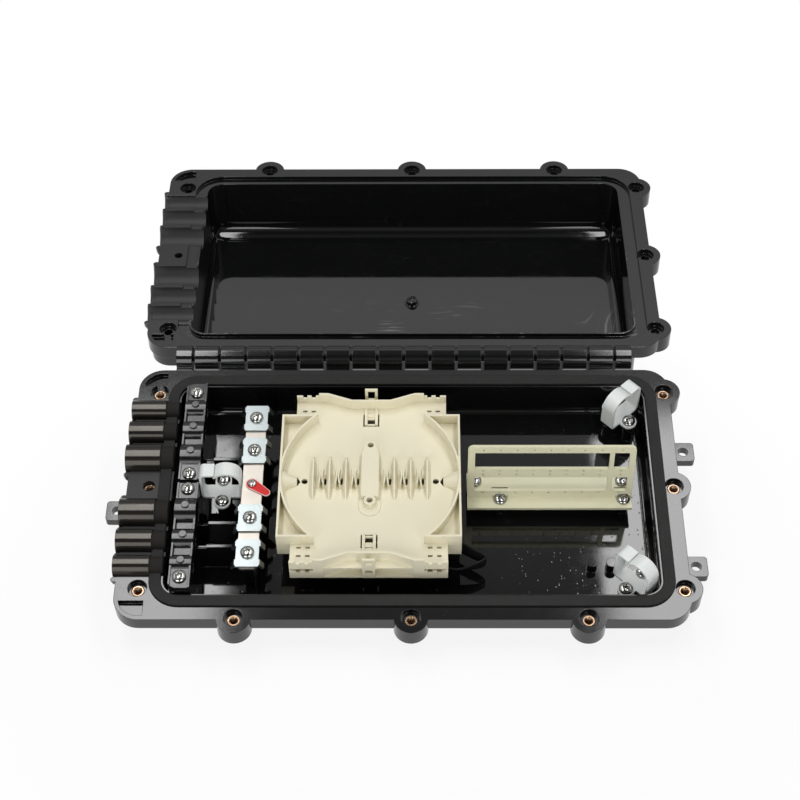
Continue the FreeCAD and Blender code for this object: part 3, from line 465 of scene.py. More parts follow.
def moulded_plastic(name, tint, roughness, grain, spread, dusty, wave=0.5, worn=0.15):
    """Plain moulded plastic: drifting colour, grain, paler worn edges and dust."""
    material, tree, shader, where = new_material(name)
    drift = use_group(tree, "colour_drift", {"Vector": where, "Colour": opaque(tint), "Spread": spread})
    height = use_group(tree, "moulded_grain", {"Vector": where, "Wave Share": wave})
    normal, edge = soft_bump(tree, height, grain, finish().edge)
    chalky = shade(tint, gain=1.25, lift=0.04)
    pale = blend_colours(tree, maths(tree, "MULTIPLY", edge, worn), drift, chalky)
    specks = use_group(tree, "dust", {"Vector": where, "Amount": dusty})
    faded = blend_colours(tree, maths(tree, "MULTIPLY", specks, DUST_SHARE), pale, DUST_TONE)
    rub = noise(tree, where, scale=70.0, detail=3.0)
    rough = ramp(tree, rub, *NOISE, *ends(roughness, PLASTIC_SHARES))
    wire(tree, shader, faded, rough, normal)
    return material


def plated_metal(name, tint, roughness, streak, wear):
    """Plated metal: fine streaks along the piece, and wear that spreads its colour, gloss and scratches."""
    material, tree, shader, where = new_material(name)
    shader.inputs["Metallic"].default_value = 1.0
    stretched = put(tree, "ShaderNodeMapping", {"Vector": where, "Scale": streak})
    lines = noise(tree, stretched.outputs[0], scale=1.0, detail=3.0)
    cloud = noise(tree, where, scale=160.0, detail=4.0)
    rough = ramp(tree, cloud, *NOISE, roughness * (1 - wear), roughness * (1 + wear))
    drift = use_group(tree, "colour_drift", {
        "Vector": where, "Colour": opaque(tint), "Scale": 220.0, "Spread": 0.6 * wear})
    scratch = use_group(tree, "scuffs", {"Vector": where, "Scale": 260.0, "Width": 0.03, "Cover": 0.55})
    dark = shade(tint, gain=0.55)
    tone = blend_colours(tree, maths(tree, "MULTIPLY", scratch, wear), drift, dark)
    normal = soft_bump(tree, lines, depth=0.006 * MM, radius=0.2 * MM)[0]
    wire(tree, shader, tone, rough, normal)
    return material


def cavity_mask(tree, where, low, high):
    """One inside the seal's loop between two heights, zero outside, with a soft edge."""
    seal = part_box("sealing_gasket")[1]
    half_x = seal.x - sizes().seal_width
    half_y = seal.y - sizes().seal_width
    parts = split(tree, where)
    inside_x = ramp(tree, maths(tree, "ABSOLUTE", parts[0]), half_x, half_x + MASK_EDGE, 1, 0)
    inside_y = ramp(tree, maths(tree, "ABSOLUTE", parts[1]), half_y, half_y + MASK_EDGE, 1, 0)
    above = ramp(tree, parts[2], low, low + DEPTH_EDGE)
    below = ramp(tree, parts[2], high - DEPTH_EDGE, high, 1, 0)
    across = maths(tree, "MULTIPLY", inside_x, inside_y)
    deep = maths(tree, "MULTIPLY", above, below)
    return maths(tree, "MULTIPLY", across, deep)


def land_mask(tree, where):
    """One on the shells around the plugs, up to the seal's inner side, zero elsewhere."""
    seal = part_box("sealing_gasket")[0].x + sizes().seal_width + LAND_PAST
    plugs = [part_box(name) for name in PLUGS]
    front = min(low.y for low, high in plugs)
    back = max(high.y for low, high in plugs)
    end = min(low.x for low, high in plugs)
    parts = split(tree, where)
    outside = ramp(tree, parts[0], seal - MASK_EDGE, seal, 1, 0)
    behind = ramp(tree, parts[1], front - MASK_EDGE, front)
    before = ramp(tree, parts[1], back, back + MASK_EDGE, 1, 0)
    within = ramp(tree, parts[0], end - MASK_EDGE, end)
    along = maths(tree, "MULTIPLY", outside, within)
    return maths(tree, "MULTIPLY", along, maths(tree, "MULTIPLY", behind, before))


def shell_moulding(name, turn, low, high, rubs, pimples):
    """Black moulding: satin flange with specks and scuffs, glossy cavity with smears. Turn closes the lid.
    Rubs is the strength of the strokes on the hinge side of its floor, pimples the height of the specks."""
    gloss = finish()
    material, tree, shader, where = new_material(name, gloss.shine)
    location, rotation = turn
    closed = put(tree, "ShaderNodeMapping", {
        "Vector": where, "Location": location, "Rotation": rotation}).outputs[0]
    cavity = cavity_mask(tree, closed, low, high)
    scuff = use_group(tree, "scuffs", {"Vector": closed, "Scale": 34.0, "Width": 0.012, "Cover": 0.6})
    hair = use_group(tree, "scuffs", {"Vector": closed, "Scale": 95.0, "Width": 0.02, "Cover": 0.5})
    specks = use_group(tree, "dust", {"Vector": closed, "Scale": 520.0, "Size": 0.16, "Amount": 0.10})
    smear = noise(tree, closed, scale=22.0, detail=6.0, roughness=0.6, distortion=1.2)
    film = ramp(tree, smear, *FILM)
    lines = maths(tree, "MULTIPLY", maths(tree, "MAXIMUM", scuff, hair), gloss.scuff)
    dusty = maths(tree, "MULTIPLY", specks, gloss.dust)
    marks = maths(tree, "MAXIMUM", lines, dusty)
    drift = use_group(tree, "colour_drift", {
        "Vector": closed, "Colour": opaque(colours().shell), "Scale": 30.0, "Spread": 0.5})
    marked = blend_colours(tree, marks, drift, SCUFF_TONE)
    satin = ramp(tree, smear, *NOISE, *ends(gloss.flange_roughness, SATIN_SHARES))
    sheen = blend_values(tree, film, *ends(gloss.cavity_roughness, SHEEN_SHARES))
    moulded = blend_values(tree, cavity, satin, sheen)
    rough = blend_values(tree, land_mask(tree, closed), moulded, gloss.land_roughness)
    grain = use_group(tree, "moulded_grain", {
        "Vector": closed, "Grain Scale": 1300.0, "Wave Scale": 38.0, "Wave Share": 0.55})
    dots = use_group(tree, "dust", {"Vector": closed, "Scale": 460.0, "Size": 0.30, "Amount": 0.14})
    calm = maths(tree, "MULTIPLY", grain, CAVITY_GRAIN)
    floor = maths(tree, "MULTIPLY_ADD", dots, pimples, calm)
    quiet = blend_values(tree, cavity, grain, floor)
    normal, edge = soft_bump(tree, quiet, depth=0.03 * MM, radius=gloss.shell_edge)
    rubbed = use_group(tree, "rub_marks", {"Vector": closed})
    parts = split(tree, closed)
    near = ramp(tree, parts[1], *RUB_SIDE, 0.0, rubs)
    facing = put(tree, "ShaderNodeTexCoord").outputs["Normal"]
    upward = split(tree, facing)[2]
    level = maths(tree, "MULTIPLY", near, ramp(tree, upward, *LEVEL_FACE))
    strokes = maths(tree, "MULTIPLY", rubbed, level)
    faint = maths(tree, "MULTIPLY", strokes, cavity)
    hazy = blend_colours(tree, faint, marked, RUB_TONE)
    worn = blend_colours(tree, maths(tree, "MULTIPLY", edge, EDGE_SHARE), hazy, EDGE_TONE)
    wire(tree, shader, worn, rough, normal)
    return material


def painted_tag():
    """Red paint with a pale line along the tag's edge."""
    material, tree, shader, where = new_material("tag_red", shine=0.25)
    tints = colours()
    pale = ramp(tree, soft_edge(tree, sizes().tag_line)[1], *TAG_EDGE)
    drift = use_group(tree, "colour_drift", {
        "Vector": where, "Colour": opaque(tints.tag), "Scale": 300.0, "Spread": 0.2})
    paint = blend_colours(tree, pale, drift, opaque(tints.tag_rim))
    grain = use_group(tree, "moulded_grain", {"Vector": where, "Wave Share": 0.5})
    normal = soft_bump(tree, grain, depth=0.02 * MM, radius=0.2 * MM)[0]
    rough = ramp(tree, grain, *NOISE, *TAG_ROUGHNESS)
    wire(tree, shader, paint, rough, normal)
    return material


def dull_necks(material):
    """Turns the plugs dull and black from the seal's outer side inwards, where they are gripped."""
    tree = material.node_tree
    shader = tree.nodes["Principled BSDF"]
    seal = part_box("sealing_gasket")[0].x
    where = put(tree, "ShaderNodeTexCoord").outputs["Object"]
    parts = split(tree, where)
    neck = ramp(tree, parts[0], seal - NECK_EDGE, seal)
    tone = shader.inputs["Base Color"].links[0].from_socket
    rough = shader.inputs["Roughness"].links[0].from_socket
    tree.links.new(blend_colours(tree, neck, tone, opaque(colours().neck)), shader.inputs["Base Color"])
    tree.links.new(blend_values(tree, neck, rough, NECK_ROUGHNESS), shader.inputs["Roughness"])
    shader.inputs["Specular IOR Level"].default_value = NECK_SHINE
    shader.inputs["Specular Tint"].default_value = NECK_SHEEN


def rubber_seal():
    """Matte rubber with a fine bloom."""
    material, tree, shader, where = new_material("seal_rubber", shine=0.3)
    tint = colours().rubber
    drift = use_group(tree, "colour_drift", {
        "Vector": where, "Colour": opaque(tint), "Scale": 120.0, "Spread": 0.9})
    bloom = use_group(tree, "dust", {"Vector": where, "Scale": 900.0, "Size": 0.35, "Amount": 0.25})
    pale = blend_colours(tree, maths(tree, "MULTIPLY", bloom, BLOOM_SHARE), drift, BLOOM_TONE)
    grain = use_group(tree, "moulded_grain", {"Vector": where, "Grain Scale": 1500.0, "Wave Share": 0.2})
    normal = soft_bump(tree, grain, depth=0.08 * MM, radius=0.7 * MM)[0]
    rough = ramp(tree, grain, *NOISE, *SEAL_ROUGHNESS)
    wire(tree, shader, pale, rough, normal)
    return material


def woven_strap():
    """Black webbing: a plain weave that follows the strap's height and run."""
    material, tree, shader, where = new_material("strap_weave", shine=0.2)
    tint = colours().strap
    across = put(tree, "ShaderNodeTexWave", {
        "Vector": where, "Scale": 260.0, "Distortion": 0.6}, bands_direction="Z")
    along = put(tree, "ShaderNodeTexWave", {
        "Vector": where, "Scale": 220.0, "Distortion": 0.6}, bands_direction="DIAGONAL")
    weave = maths(tree, "MAXIMUM", across.outputs["Fac"], along.outputs["Fac"])
    tone = blend_colours(tree, weave, shade(tint, gain=0.5), shade(tint, gain=1.6))
    normal = soft_bump(tree, weave, depth=0.25 * MM, radius=0.3 * MM)[0]
    rough = blend_values(tree, weave, *STRAP_ROUGHNESS)
    wire(tree, shader, tone, rough, normal)
    return material


# Work on pieces

def dress(names, material):
    """Gives CAD nodes a better material."""
    for name in names:
        node = frame["nodes"][name]
        if len(node.data.materials):
            node.data.materials[0] = material
        else:
            node.data.materials.append(material)


def enter(mode):
    """Goes to object or edit mode."""
    bpy.ops.object.mode_set(mode=mode)


def clear_selection():
    """Object mode with nothing selected."""
    if bpy.context.object and bpy.context.object.mode != "OBJECT":
        enter("OBJECT")
    bpy.ops.object.select_all(action="DESELECT")


def pick(obj):
    """Makes one object the only selected and active one."""
    clear_selection()
    obj.select_set(True)
    bpy.context.view_layer.objects.active = obj


def apply_modifiers(obj):
    """Applies every modifier in order."""
    pick(obj)
    for name in [m.name for m in obj.modifiers]:
        bpy.ops.object.modifier_apply(modifier=name)


def settle(obj):
    """Puts an object's place into its mesh."""
    pick(obj)
    bpy.ops.object.transform_apply(location=True, rotation=True, scale=True)


def discard(obj):
    """Deletes an object."""
    pick(obj)
    bpy.ops.object.delete()


def rename(obj, name):
    """Names an object and its mesh."""
    obj.name = name
    obj.data.name = name


def soften(obj, width, angle):
    """Adds a bevel to the edges that are sharper than an angle in degrees."""
    soft = obj.modifiers.new("soft edges", "BEVEL")
    soft.width = width
    soft.segments = 2
    soft.limit_method = "ANGLE"
    soft.angle_limit = math.radians(angle)


def edit_all():
    """Edit mode with the whole mesh selected."""
    enter("EDIT")
    bpy.ops.mesh.select_all(action="SELECT")


def close_mesh():
    """Edit mode: turns every face outwards and goes back to object mode."""
    bpy.ops.mesh.select_all(action="SELECT")
    bpy.ops.mesh.normals_make_consistent(inside=False)
    enter("OBJECT")


def start_round(sides, radius, level, fill="NGON"):
    """Edit mode on a new circle at a height, which is then drawn up by rise."""
    clear_selection()
    bpy.ops.mesh.primitive_circle_add(vertices=sides, radius=radius, fill_type=fill, location=(0, 0, level))
    made = bpy.context.object
    settle(made)
    edit_all()
    return made


def rise(height, scale):
    """Edit mode: extrudes the selected rim upwards and draws it in."""
    bpy.ops.mesh.extrude_region_move(TRANSFORM_OT_translate={"value": (0, 0, height)})
    bpy.ops.transform.resize(value=(scale, scale, 1), center_override=(0, 0, 0))


def fasteners(node):
    """Middle of the top of each separate fastener in a CAD node, and the fasteners' radius and height."""
    source = frame["nodes"][node]
    whole = source.copy()
    whole.data = source.data.copy()
    bpy.context.collection.objects.link(whole)
    pick(whole)
    edit_all()
    bpy.ops.mesh.remove_doubles(threshold=MERGE)
    bpy.ops.mesh.separate(type="LOOSE")
    enter("OBJECT")
    places = []
    for loose in bpy.context.selected_objects:
        corners = [vertex.co for vertex in loose.data.vertices]
        low = Vector([min(corner[axis] for corner in corners) for axis in range(3)])
        high = Vector([max(corner[axis] for corner in corners) for axis in range(3)])
        places.append(Vector(((low.x + high.x) / 2, (low.y + high.y) / 2, high.z)))
        span = high - low
    bpy.ops.object.delete()
    return sorted(places, key=lambda place: (place.x, place.y)), span.x / 2, span.z


def copies(pattern, places, name):
    """One piece made of copies of a pattern at the given places, each turned further. The pattern goes."""
    made = []
    for number, place in enumerate(places):
        copy = pattern.copy()
        copy.data = pattern.data.copy()
        bpy.context.collection.objects.link(copy)
        copy.rotation_euler = Euler((0, 0, math.radians(SCREW_TURN * number + SCREW_START)))
        copy.location = place
        made.append(copy)
    clear_selection()
    for copy in made:
        copy.select_set(True)
    bpy.context.view_layer.objects.active = made[0]
    bpy.ops.object.join()
    piece = bpy.context.object
    rename(piece, name)
    settle(piece)
    discard(pattern)
    return piece


def smooth(obj, angle):
    """Smooth shading with creases above an angle in degrees."""
    pick(obj)
    bpy.ops.object.shade_smooth_by_angle(angle=math.radians(angle))


def wedge_cutter(reach, width, depth, turn):
    """One wing of the cross recess: a block that narrows downwards, its top above the head."""
    clear_selection()
    bpy.ops.mesh.primitive_cube_add(size=1, location=(0, 0, 0))
    cutter = bpy.context.object
    cutter.scale = (2 * reach, width, 2 * depth)
    cutter.rotation_euler = Euler((0, 0, turn))
    settle(cutter)
    enter("EDIT")
    bpy.ops.mesh.select_all(action="DESELECT")
    enter("OBJECT")
    for face in cutter.data.polygons:
        face.select = face.normal.z < DOWNWARD
    enter("EDIT")
    bpy.ops.mesh.select_mode(type="FACE")
    bpy.ops.transform.resize(value=(CROSS_TAPER, CROSS_TAPER, 1), center_override=(0, 0, 0))
    enter("OBJECT")
    return cutter


def pan_screw(radius):
    """Pan head screw with a rounded crown and a cross recess. The top of its crown is at the origin."""
    size = sizes()
    high = size.head_high * radius
    drum = size.head_drum * radius
    screw = start_round(HEAD_SIDES, radius, -high)
    rise(drum, 1.0)
    for step in range(CROWN_STEPS):
        a = CROWN_END * step / CROWN_STEPS
        b = CROWN_END * (step + 1) / CROWN_STEPS
        rise((high - drum) * (math.sin(b) - math.sin(a)) / math.sin(CROWN_END), math.cos(b) / math.cos(a))
    close_mesh()
    for turn in (0, math.pi / 2):
        cutter = wedge_cutter(size.cross_reach * radius, size.cross_width * radius,
                              size.cross_depth * radius, turn)
        pick(screw)
        cut = screw.modifiers.new("recess", "BOOLEAN")
        cut.operation = "DIFFERENCE"
        cut.solver = "EXACT"
        cut.object = cutter
        apply_modifiers(screw)
        discard(cutter)
    soften(screw, width=0.02 * radius, angle=35)
    apply_modifiers(screw)
    smooth(screw, angle=30)
    return screw


def insert_ring(radius, high):
    """Brass insert with a chamfered top and a thread in its bore. The middle of its top is at the origin."""
    size = sizes()
    bore = size.insert_bore
    chamfer = size.insert_chamfer
    ring = start_round(RING_SIDES, radius, -high, fill="NOTHING")
    here = radius
    level = -high

    def go(target, height):
        nonlocal here, level
        rise(height - level, target / here)
        here = target
        level = height

    go(radius, -chamfer)
    go(radius - chamfer, 0)
    go(bore + 2 * size.thread_depth, 0)
    turns = int((high - chamfer) / size.thread_pitch)
    for turn in range(turns):
        top = -size.thread_depth - turn * size.thread_pitch
        go(bore, top - size.thread_pitch / 4)
        go(bore + size.thread_depth, top - 3 * size.thread_pitch / 4)
    go(bore, -high)
    go(radius, -high)
    bpy.ops.mesh.select_all(action="SELECT")
    bpy.ops.mesh.remove_doubles(threshold=MERGE)
    close_mesh()
    smooth(ring, angle=25)
    return ring


def lid_closing():
    """Hinge point, turn that closes the lid, and height of the closed lid's top."""
    hinge = next(j for j in frame["joints"] if j["name"] == "lid_hinge")
    pivot = Vector(hinge["pos_m"])
    turn = Matrix.Rotation(math.radians(hinge["range_deg"][1]), 3, "X")
    roof = max((turn @ (vertex.co - pivot)).z for vertex in frame["nodes"]["lid_shell"].data.vertices)
    return pivot, turn, pivot.z + roof


def moulding_stub():
    """Stub at the origin: a foot ring, a short neck that was snapped off askew and a dished top."""
    size = sizes()
    high = size.stub_high
    stub = start_round(STUB_SIDES, size.stub_foot, -STUB_SUNK)
    rename(stub, "lid_moulding_stub")
    for share, scale in STUB_RISES:
        rise(share * high, scale)
    bpy.ops.mesh.select_all(action="DESELECT")
    enter("OBJECT")
    for vertex in stub.data.vertices:
        vertex.select = vertex.co.z > STUB_SNAP * high
    enter("EDIT")
    bpy.ops.transform.rotate(value=STUB_LEAN, orient_axis="Y", center_override=(0, 0, high))
    close_mesh()
    smooth(stub, angle=35)
    return stub


def draw_edge(points):
    """Edit mode: draws a chain of edges on from the selected vertex, which is at the first point."""
    for here, there in zip(points, points[1:]):
        bpy.ops.mesh.extrude_vertices_move(TRANSFORM_OT_translate={"value": there - here})


def strap_band():
    """Strap drawn as its upper and lower edge, bridged to a band and given its thickness."""
    upper = [Vector(point) * MM for point in STRAP_UPPER]
    lower = [Vector(point) * MM for point in reversed(STRAP_LOWER)]
    clear_selection()
    bpy.ops.mesh.primitive_plane_add(size=MM, location=upper[0])
    band = bpy.context.object
    rename(band, "tray_strap_loop")
    settle(band)
    enter("EDIT")
    bpy.ops.mesh.select_mode(type="VERT")
    bpy.ops.mesh.select_all(action="SELECT")
    bpy.ops.mesh.merge(type="CENTER")
    draw_edge(upper)
    bpy.ops.mesh.duplicate_move(TRANSFORM_OT_translate={"value": lower[0] - upper[-1]})
    draw_edge(lower)
    bpy.ops.mesh.select_all(action="SELECT")
    bpy.ops.mesh.bridge_edge_loops()
    close_mesh()
    bends = band.modifiers.new("bends", "SUBSURF")
    bends.levels = 3
    bends.render_levels = 3
    thick = band.modifiers.new("thickness", "SOLIDIFY")
    thick.thickness = sizes().strap_thick
    thick.offset = 0
    soften(band, width=0.25 * sizes().strap_thick, angle=50)
    apply_modifiers(band)
    smooth(band, angle=40)
    return band


# Operators

class CLOSURE_OT_shells(bpy.types.Operator):
    """Dresses both moulded shells"""
    bl_idname = "closure.shells"
    bl_label = "Shells"

    def execute(self, context):
        pivot, turn, roof = lid_closing()
        closed = (pivot - turn @ pivot, turn.to_euler())
        still = ((0, 0, 0), (0, 0, 0))
        skin = sizes().wall / 2
        dress(["base_shell"], shell_moulding("base_moulding", still, skin, pivot.z, rubs=0.0, pimples=1.6))
        dress(["lid_shell"], shell_moulding("lid_moulding", closed, pivot.z, roof - skin,
                                            rubs=finish().rubs, pimples=0.2))
        return {"FINISHED"}


class CLOSURE_OT_stub(bpy.types.Operator):
    """Models the stub that the moulding left in the lid"""
    bl_idname = "closure.stub"
    bl_label = "Moulding stub"

    def execute(self, context):
        pivot, turn, roof = lid_closing()
        ceiling = Vector((0, 0, roof - sizes().wall)) - pivot
        stub = moulding_stub()
        opened = Matrix.Translation(pivot) @ turn.inverted().to_4x4() @ Matrix.Translation(ceiling)
        stub.matrix_world = opened @ Matrix.Rotation(math.pi, 4, "X")
        settle(stub)
        stub.data.materials.append(frame["nodes"]["lid_shell"].data.materials[0])
        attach(stub, "lid")
        return {"FINISHED"}


class CLOSURE_OT_seal(bpy.types.Operator):
    """Dresses the rubber seal"""
    bl_idname = "closure.seal"
    bl_label = "Seal"

    def execute(self, context):
        dress(["sealing_gasket"], rubber_seal())
        return {"FINISHED"}


class CLOSURE_OT_inserts(bpy.types.Operator):
    """Models the threaded brass inserts"""
    bl_idname = "closure.inserts"
    bl_label = "Inserts"

    def execute(self, context):
        places, radius, high = fasteners("threaded_inserts")
        piece = copies(insert_ring(radius, high), places, "threaded_brass_inserts")
        piece.data.materials.append(plated_metal("insert_brass", colours().brass, roughness=0.28,
                                                 streak=(300, 300, 4000), wear=0.3))
        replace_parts(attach(piece, "base"), "threaded_inserts")
        return {"FINISHED"}


class CLOSURE_OT_plugs(bpy.types.Operator):
    """Dresses the port plugs"""
    bl_idname = "closure.plugs"
    bl_label = "Port plugs"

    def execute(self, context):
        material = moulded_plastic("plug_brown", colours().plug, roughness=0.14, grain=0.015 * MM,
                                   spread=0.4, dusty=0.04, wave=0.4)
        dull_necks(material)
        dress(PLUGS, material)
        return {"FINISHED"}


class CLOSURE_OT_hinge(bpy.types.Operator):
    """Dresses the hinge pin"""
    bl_idname = "closure.hinge"
    bl_label = "Hinge pin"

    def execute(self, context):
        dress(["hinge_pin"], plated_metal("pin_steel", colours().pin, roughness=0.35,
                                          streak=(200, 4000, 4000), wear=0.3))
        return {"FINISHED"}


class CLOSURE_OT_cable_clamps(bpy.types.Operator):
    """Dresses the cable clamp bars"""
    bl_idname = "closure.cable_clamps"
    bl_label = "Cable clamps"

    def execute(self, context):
        dress(["cable_clamp_rear", "cable_clamp_front"],
              moulded_plastic("clamp_black", colours().clamp, roughness=0.15, grain=0.02 * MM,
                              spread=0.5, dusty=0.05, wave=0.3, worn=0.2))
        return {"FINISHED"}


class CLOSURE_OT_earth_bar(bpy.types.Operator):
    """Dresses the earth bar, its saddle plates and its tag"""
    bl_idname = "closure.earth_bar"
    bl_label = "Earth bar"

    def execute(self, context):
        tints = colours()
        dress(["earth_bar"], plated_metal("bar_plate", tints.bar, roughness=0.36,
                                          streak=(3000, 300, 3000), wear=0.1))
        dress(SADDLES, plated_metal("saddle_zinc", tints.zinc, roughness=0.30,
                                    streak=(400, 3000, 3000), wear=0.12))
        dress(["earth_tag"], painted_tag())
        return {"FINISHED"}


class CLOSURE_OT_screws(bpy.types.Operator):
    """Models the cross recess screws"""
    bl_idname = "closure.screws"
    bl_label = "Screws"

    def execute(self, context):
        steel = plated_metal("screw_steel", colours().steel, roughness=0.12, streak=(900, 900, 900), wear=0.3)
        for node in SCREW_SETS:
            places, radius, _ = fasteners(node)
            piece = copies(pan_screw(radius), places, node + "_pan")
            piece.data.materials.append(steel)
            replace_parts(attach(piece, "base"), node)
        return {"FINISHED"}


class CLOSURE_OT_clips(bpy.types.Operator):
    """Dresses the fibre clips"""
    bl_idname = "closure.clips"
    bl_label = "Fibre clips"

    def execute(self, context):
        dress(CLIPS, moulded_plastic("clip_grey", colours().clip, roughness=0.38, grain=0.012 * MM,
                                     spread=0.06, dusty=0.01))
        return {"FINISHED"}


class CLOSURE_OT_trays(bpy.types.Operator):
    """Dresses the splice trays"""
    bl_idname = "closure.trays"
    bl_label = "Splice trays"

    def execute(self, context):
        dress(["lower_tray", "upper_tray"],
              moulded_plastic("tray_ivory", colours().tray, roughness=0.36, grain=0.012 * MM,
                              spread=0.06, dusty=0.01))
        return {"FINISHED"}


class CLOSURE_OT_panel(bpy.types.Operator):
    """Dresses the adapter panel"""
    bl_idname = "closure.panel"
    bl_label = "Adapter panel"

    def execute(self, context):
        dress(["adapter_panel"],
              moulded_plastic("panel_beige", colours().panel, roughness=0.40, grain=0.015 * MM,
                              spread=0.08, dusty=0.015, worn=0.2))
        return {"FINISHED"}


class CLOSURE_OT_strap(bpy.types.Operator):
    """Models the strap that loops out from under the trays"""
    bl_idname = "closure.strap"
    bl_label = "Strap"

    def execute(self, context):
        band = strap_band()
        band.data.materials.append(woven_strap())
        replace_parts(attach(band, "base"), "tray_strap")
        return {"FINISHED"}


def resting_slope():
    """Front edge of the base's underside, and the slope on which base and lid lie together."""
    base = frame["nodes"]["base_shell"].data.vertices
    lid = frame["nodes"]["lid_shell"].data.vertices
    front = min(v.co.y for v in base if v.co.z < 0.01 * MM)
    return front, min(v.co.z / (v.co.y - front) for v in lid)


def pale_floor():
    """Floor that shows as white, with a part that takes the shadow."""
    material, tree, shader, where = new_material("floor_pale")
    tree.nodes.remove(shader)
    light = stage()
    matte = put(tree, "ShaderNodeBsdfDiffuse", {"Color": opaque(light.floor)})
    white = put(tree, "ShaderNodeEmission", {"Color": (1, 1, 1, 1), "Strength": 1.0})
    rays = put(tree, "ShaderNodeLightPath")
    seen = maths(tree, "MAXIMUM", maths(tree, "MAXIMUM", rays.outputs["Is Camera Ray"],
                 rays.outputs["Is Glossy Ray"]), rays.outputs["Is Transmission Ray"])
    away = put(tree, "ShaderNodeVectorMath", {0: where}, operation="LENGTH")
    glow = ramp(tree, away.outputs["Value"], light.floor_near, light.floor_far, light.floor_glow, 1.0)
    share = maths(tree, "MULTIPLY", seen, glow)
    mixed = put(tree, "ShaderNodeMixShader", {0: share, 1: matte.outputs[0], 2: white.outputs[0]})
    tree.links.new(mixed.outputs[0], tree.nodes["Material Output"].inputs["Surface"])
    return material


def soft_lamp(name, place, aim, size, power):
    """Rectangular lamp that looks at a point."""
    data = bpy.data.lights.new(name, "AREA")
    data.shape = "RECTANGLE"
    data.size, data.size_y = size
    data.energy = power
    lamp = bpy.data.objects.new(name, data)
    lamp.location = place
    lamp.rotation_euler = (aim - place).to_track_quat("-Z", "Y").to_euler()
    bpy.context.collection.objects.link(lamp)
    return lamp


def studio_room():
    """White to the camera, even for diffuse light. Mirrors see it dark overhead and in front."""
    light = stage()
    world = bpy.data.worlds.new("room")
    world.use_nodes = True
    tree = world.node_tree
    back = tree.nodes["Background"]
    rays = put(tree, "ShaderNodeLightPath")
    heading = put(tree, "ShaderNodeTexCoord").outputs["Generated"]
    parts = split(tree, heading)
    mirrored = ramp(tree, parts[2], light.horizon, light.overhead, 1.0, light.ceiling)
    front = ramp(tree, parts[1], *FRONT_ROOM, light.front_room, 1.0)
    lowest = ramp(tree, parts[2], *LOW_ROOM, light.low_room, 1.0)
    mirrored = maths(tree, "MULTIPLY", mirrored, maths(tree, "MULTIPLY", front, lowest))
    mirror = maths(tree, "MAXIMUM", rays.outputs["Is Glossy Ray"], rays.outputs["Is Transmission Ray"])
    indirect = blend_values(tree, mirror, light.room, mirrored)
    strength = blend_values(tree, rays.outputs["Is Camera Ray"], indirect, 1.0)
    back.inputs["Color"].default_value = (1, 1, 1, 1)
    tree.links.new(strength, back.inputs["Strength"])
    return world


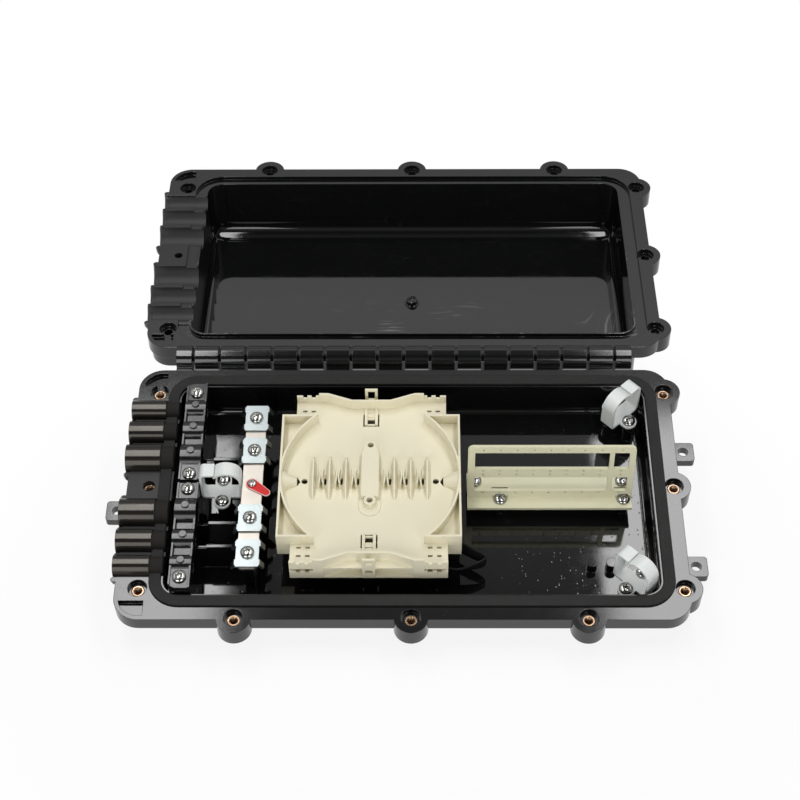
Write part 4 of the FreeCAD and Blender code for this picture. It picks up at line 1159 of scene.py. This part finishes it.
class CLOSURE_OT_stage(bpy.types.Operator):
    """Sets the floor, the lamps, the room light and the camera"""
    bl_idname = "closure.stage"
    bl_label = "Stage"

    def execute(self, context):
        light = stage()
        scene = context.scene
        scene.view_settings.view_transform = "Standard"
        front, slope = resting_slope()
        clear_selection()
        bpy.ops.mesh.primitive_plane_add(size=FLOOR_SPAN, location=(0, front, 0),
                                         rotation=(math.atan(slope), 0, 0))
        floor = context.object
        floor.name = "floor"
        floor.data.materials.append(pale_floor())
        for side, name in ((-1, "left"), (1, "right")):
            above = Vector((side, 1, 1)) * Vector(light.side_place)
            ahead = Vector((side, 1, 1)) * Vector(light.front_place)
            below = Vector((above.x, above.y, 0))
            soft_lamp("lamp_side_" + name, above, below, light.side_size, light.side_light)
            soft_lamp("lamp_front_" + name, ahead, Vector(), light.front_size, light.front_light)
        scene.world = studio_room()
        data = bpy.data.cameras.new("camera")
        data.lens = light.lens
        data.sensor_width = SENSOR
        data.clip_start = NEAREST
        data.clip_end = FARTHEST
        camera = bpy.data.objects.new("camera", data)
        heading = Vector((math.sin(light.yaw), math.cos(light.yaw), 0))
        gaze = heading * math.cos(light.pitch) - Vector((0, 0, math.sin(light.pitch)))
        right = Vector((math.cos(light.yaw), -math.sin(light.yaw), 0))
        up = right.cross(gaze)
        level = right * math.cos(light.roll) + up * math.sin(light.roll)
        top = up * math.cos(light.roll) - right * math.sin(light.roll)
        turn = Matrix((level, top, -gaze)).transposed().to_4x4()
        camera.matrix_world = Matrix.Translation(light.place) @ turn
        context.collection.objects.link(camera)
        scene.camera = camera
        return {"FINISHED"}


class CLOSURE_PT_pieces(bpy.types.Panel):
    """Lists the closure's pieces"""
    bl_idname = "CLOSURE_PT_pieces"
    bl_label = "Closure"
    bl_space_type = "VIEW_3D"
    bl_region_type = "UI"
    bl_category = "Closure"

    def draw(self, context):
        for operator in OPERATORS:
            self.layout.operator(operator.bl_idname)


GROUPS = {"closure_colours": ClosureColours, "closure_finish": ClosureFinish,
          "closure_sizes": ClosureSizes, "closure_stage": ClosureStage}
OPERATORS = (CLOSURE_OT_shells, CLOSURE_OT_stub, CLOSURE_OT_seal, CLOSURE_OT_inserts, CLOSURE_OT_plugs,
             CLOSURE_OT_hinge, CLOSURE_OT_cable_clamps, CLOSURE_OT_earth_bar, CLOSURE_OT_screws,
             CLOSURE_OT_clips, CLOSURE_OT_trays, CLOSURE_OT_panel, CLOSURE_OT_strap, CLOSURE_OT_stage)
CLASSES = (*GROUPS.values(), *OPERATORS, CLOSURE_PT_pieces)


def register():
    for cls in CLASSES:
        bpy.utils.register_class(cls)
    for name, group in GROUPS.items():
        setattr(bpy.types.Scene, name, bpy.props.PointerProperty(type=group))


def unregister():
    for name in GROUPS:
        delattr(bpy.types.Scene, name)
    for cls in reversed(CLASSES):
        bpy.utils.unregister_class(cls)


def main():
    """Builds every piece in order."""
    register()
    build_groups()
    bpy.ops.closure.shells()
    bpy.ops.closure.stub()
    bpy.ops.closure.seal()
    bpy.ops.closure.inserts()
    bpy.ops.closure.plugs()
    bpy.ops.closure.hinge()
    bpy.ops.closure.cable_clamps()
    bpy.ops.closure.earth_bar()
    bpy.ops.closure.screws()
    bpy.ops.closure.clips()
    bpy.ops.closure.trays()
    bpy.ops.closure.panel()
    bpy.ops.closure.strap()
    bpy.ops.closure.stage()


if __name__ == "__main__":
    main()
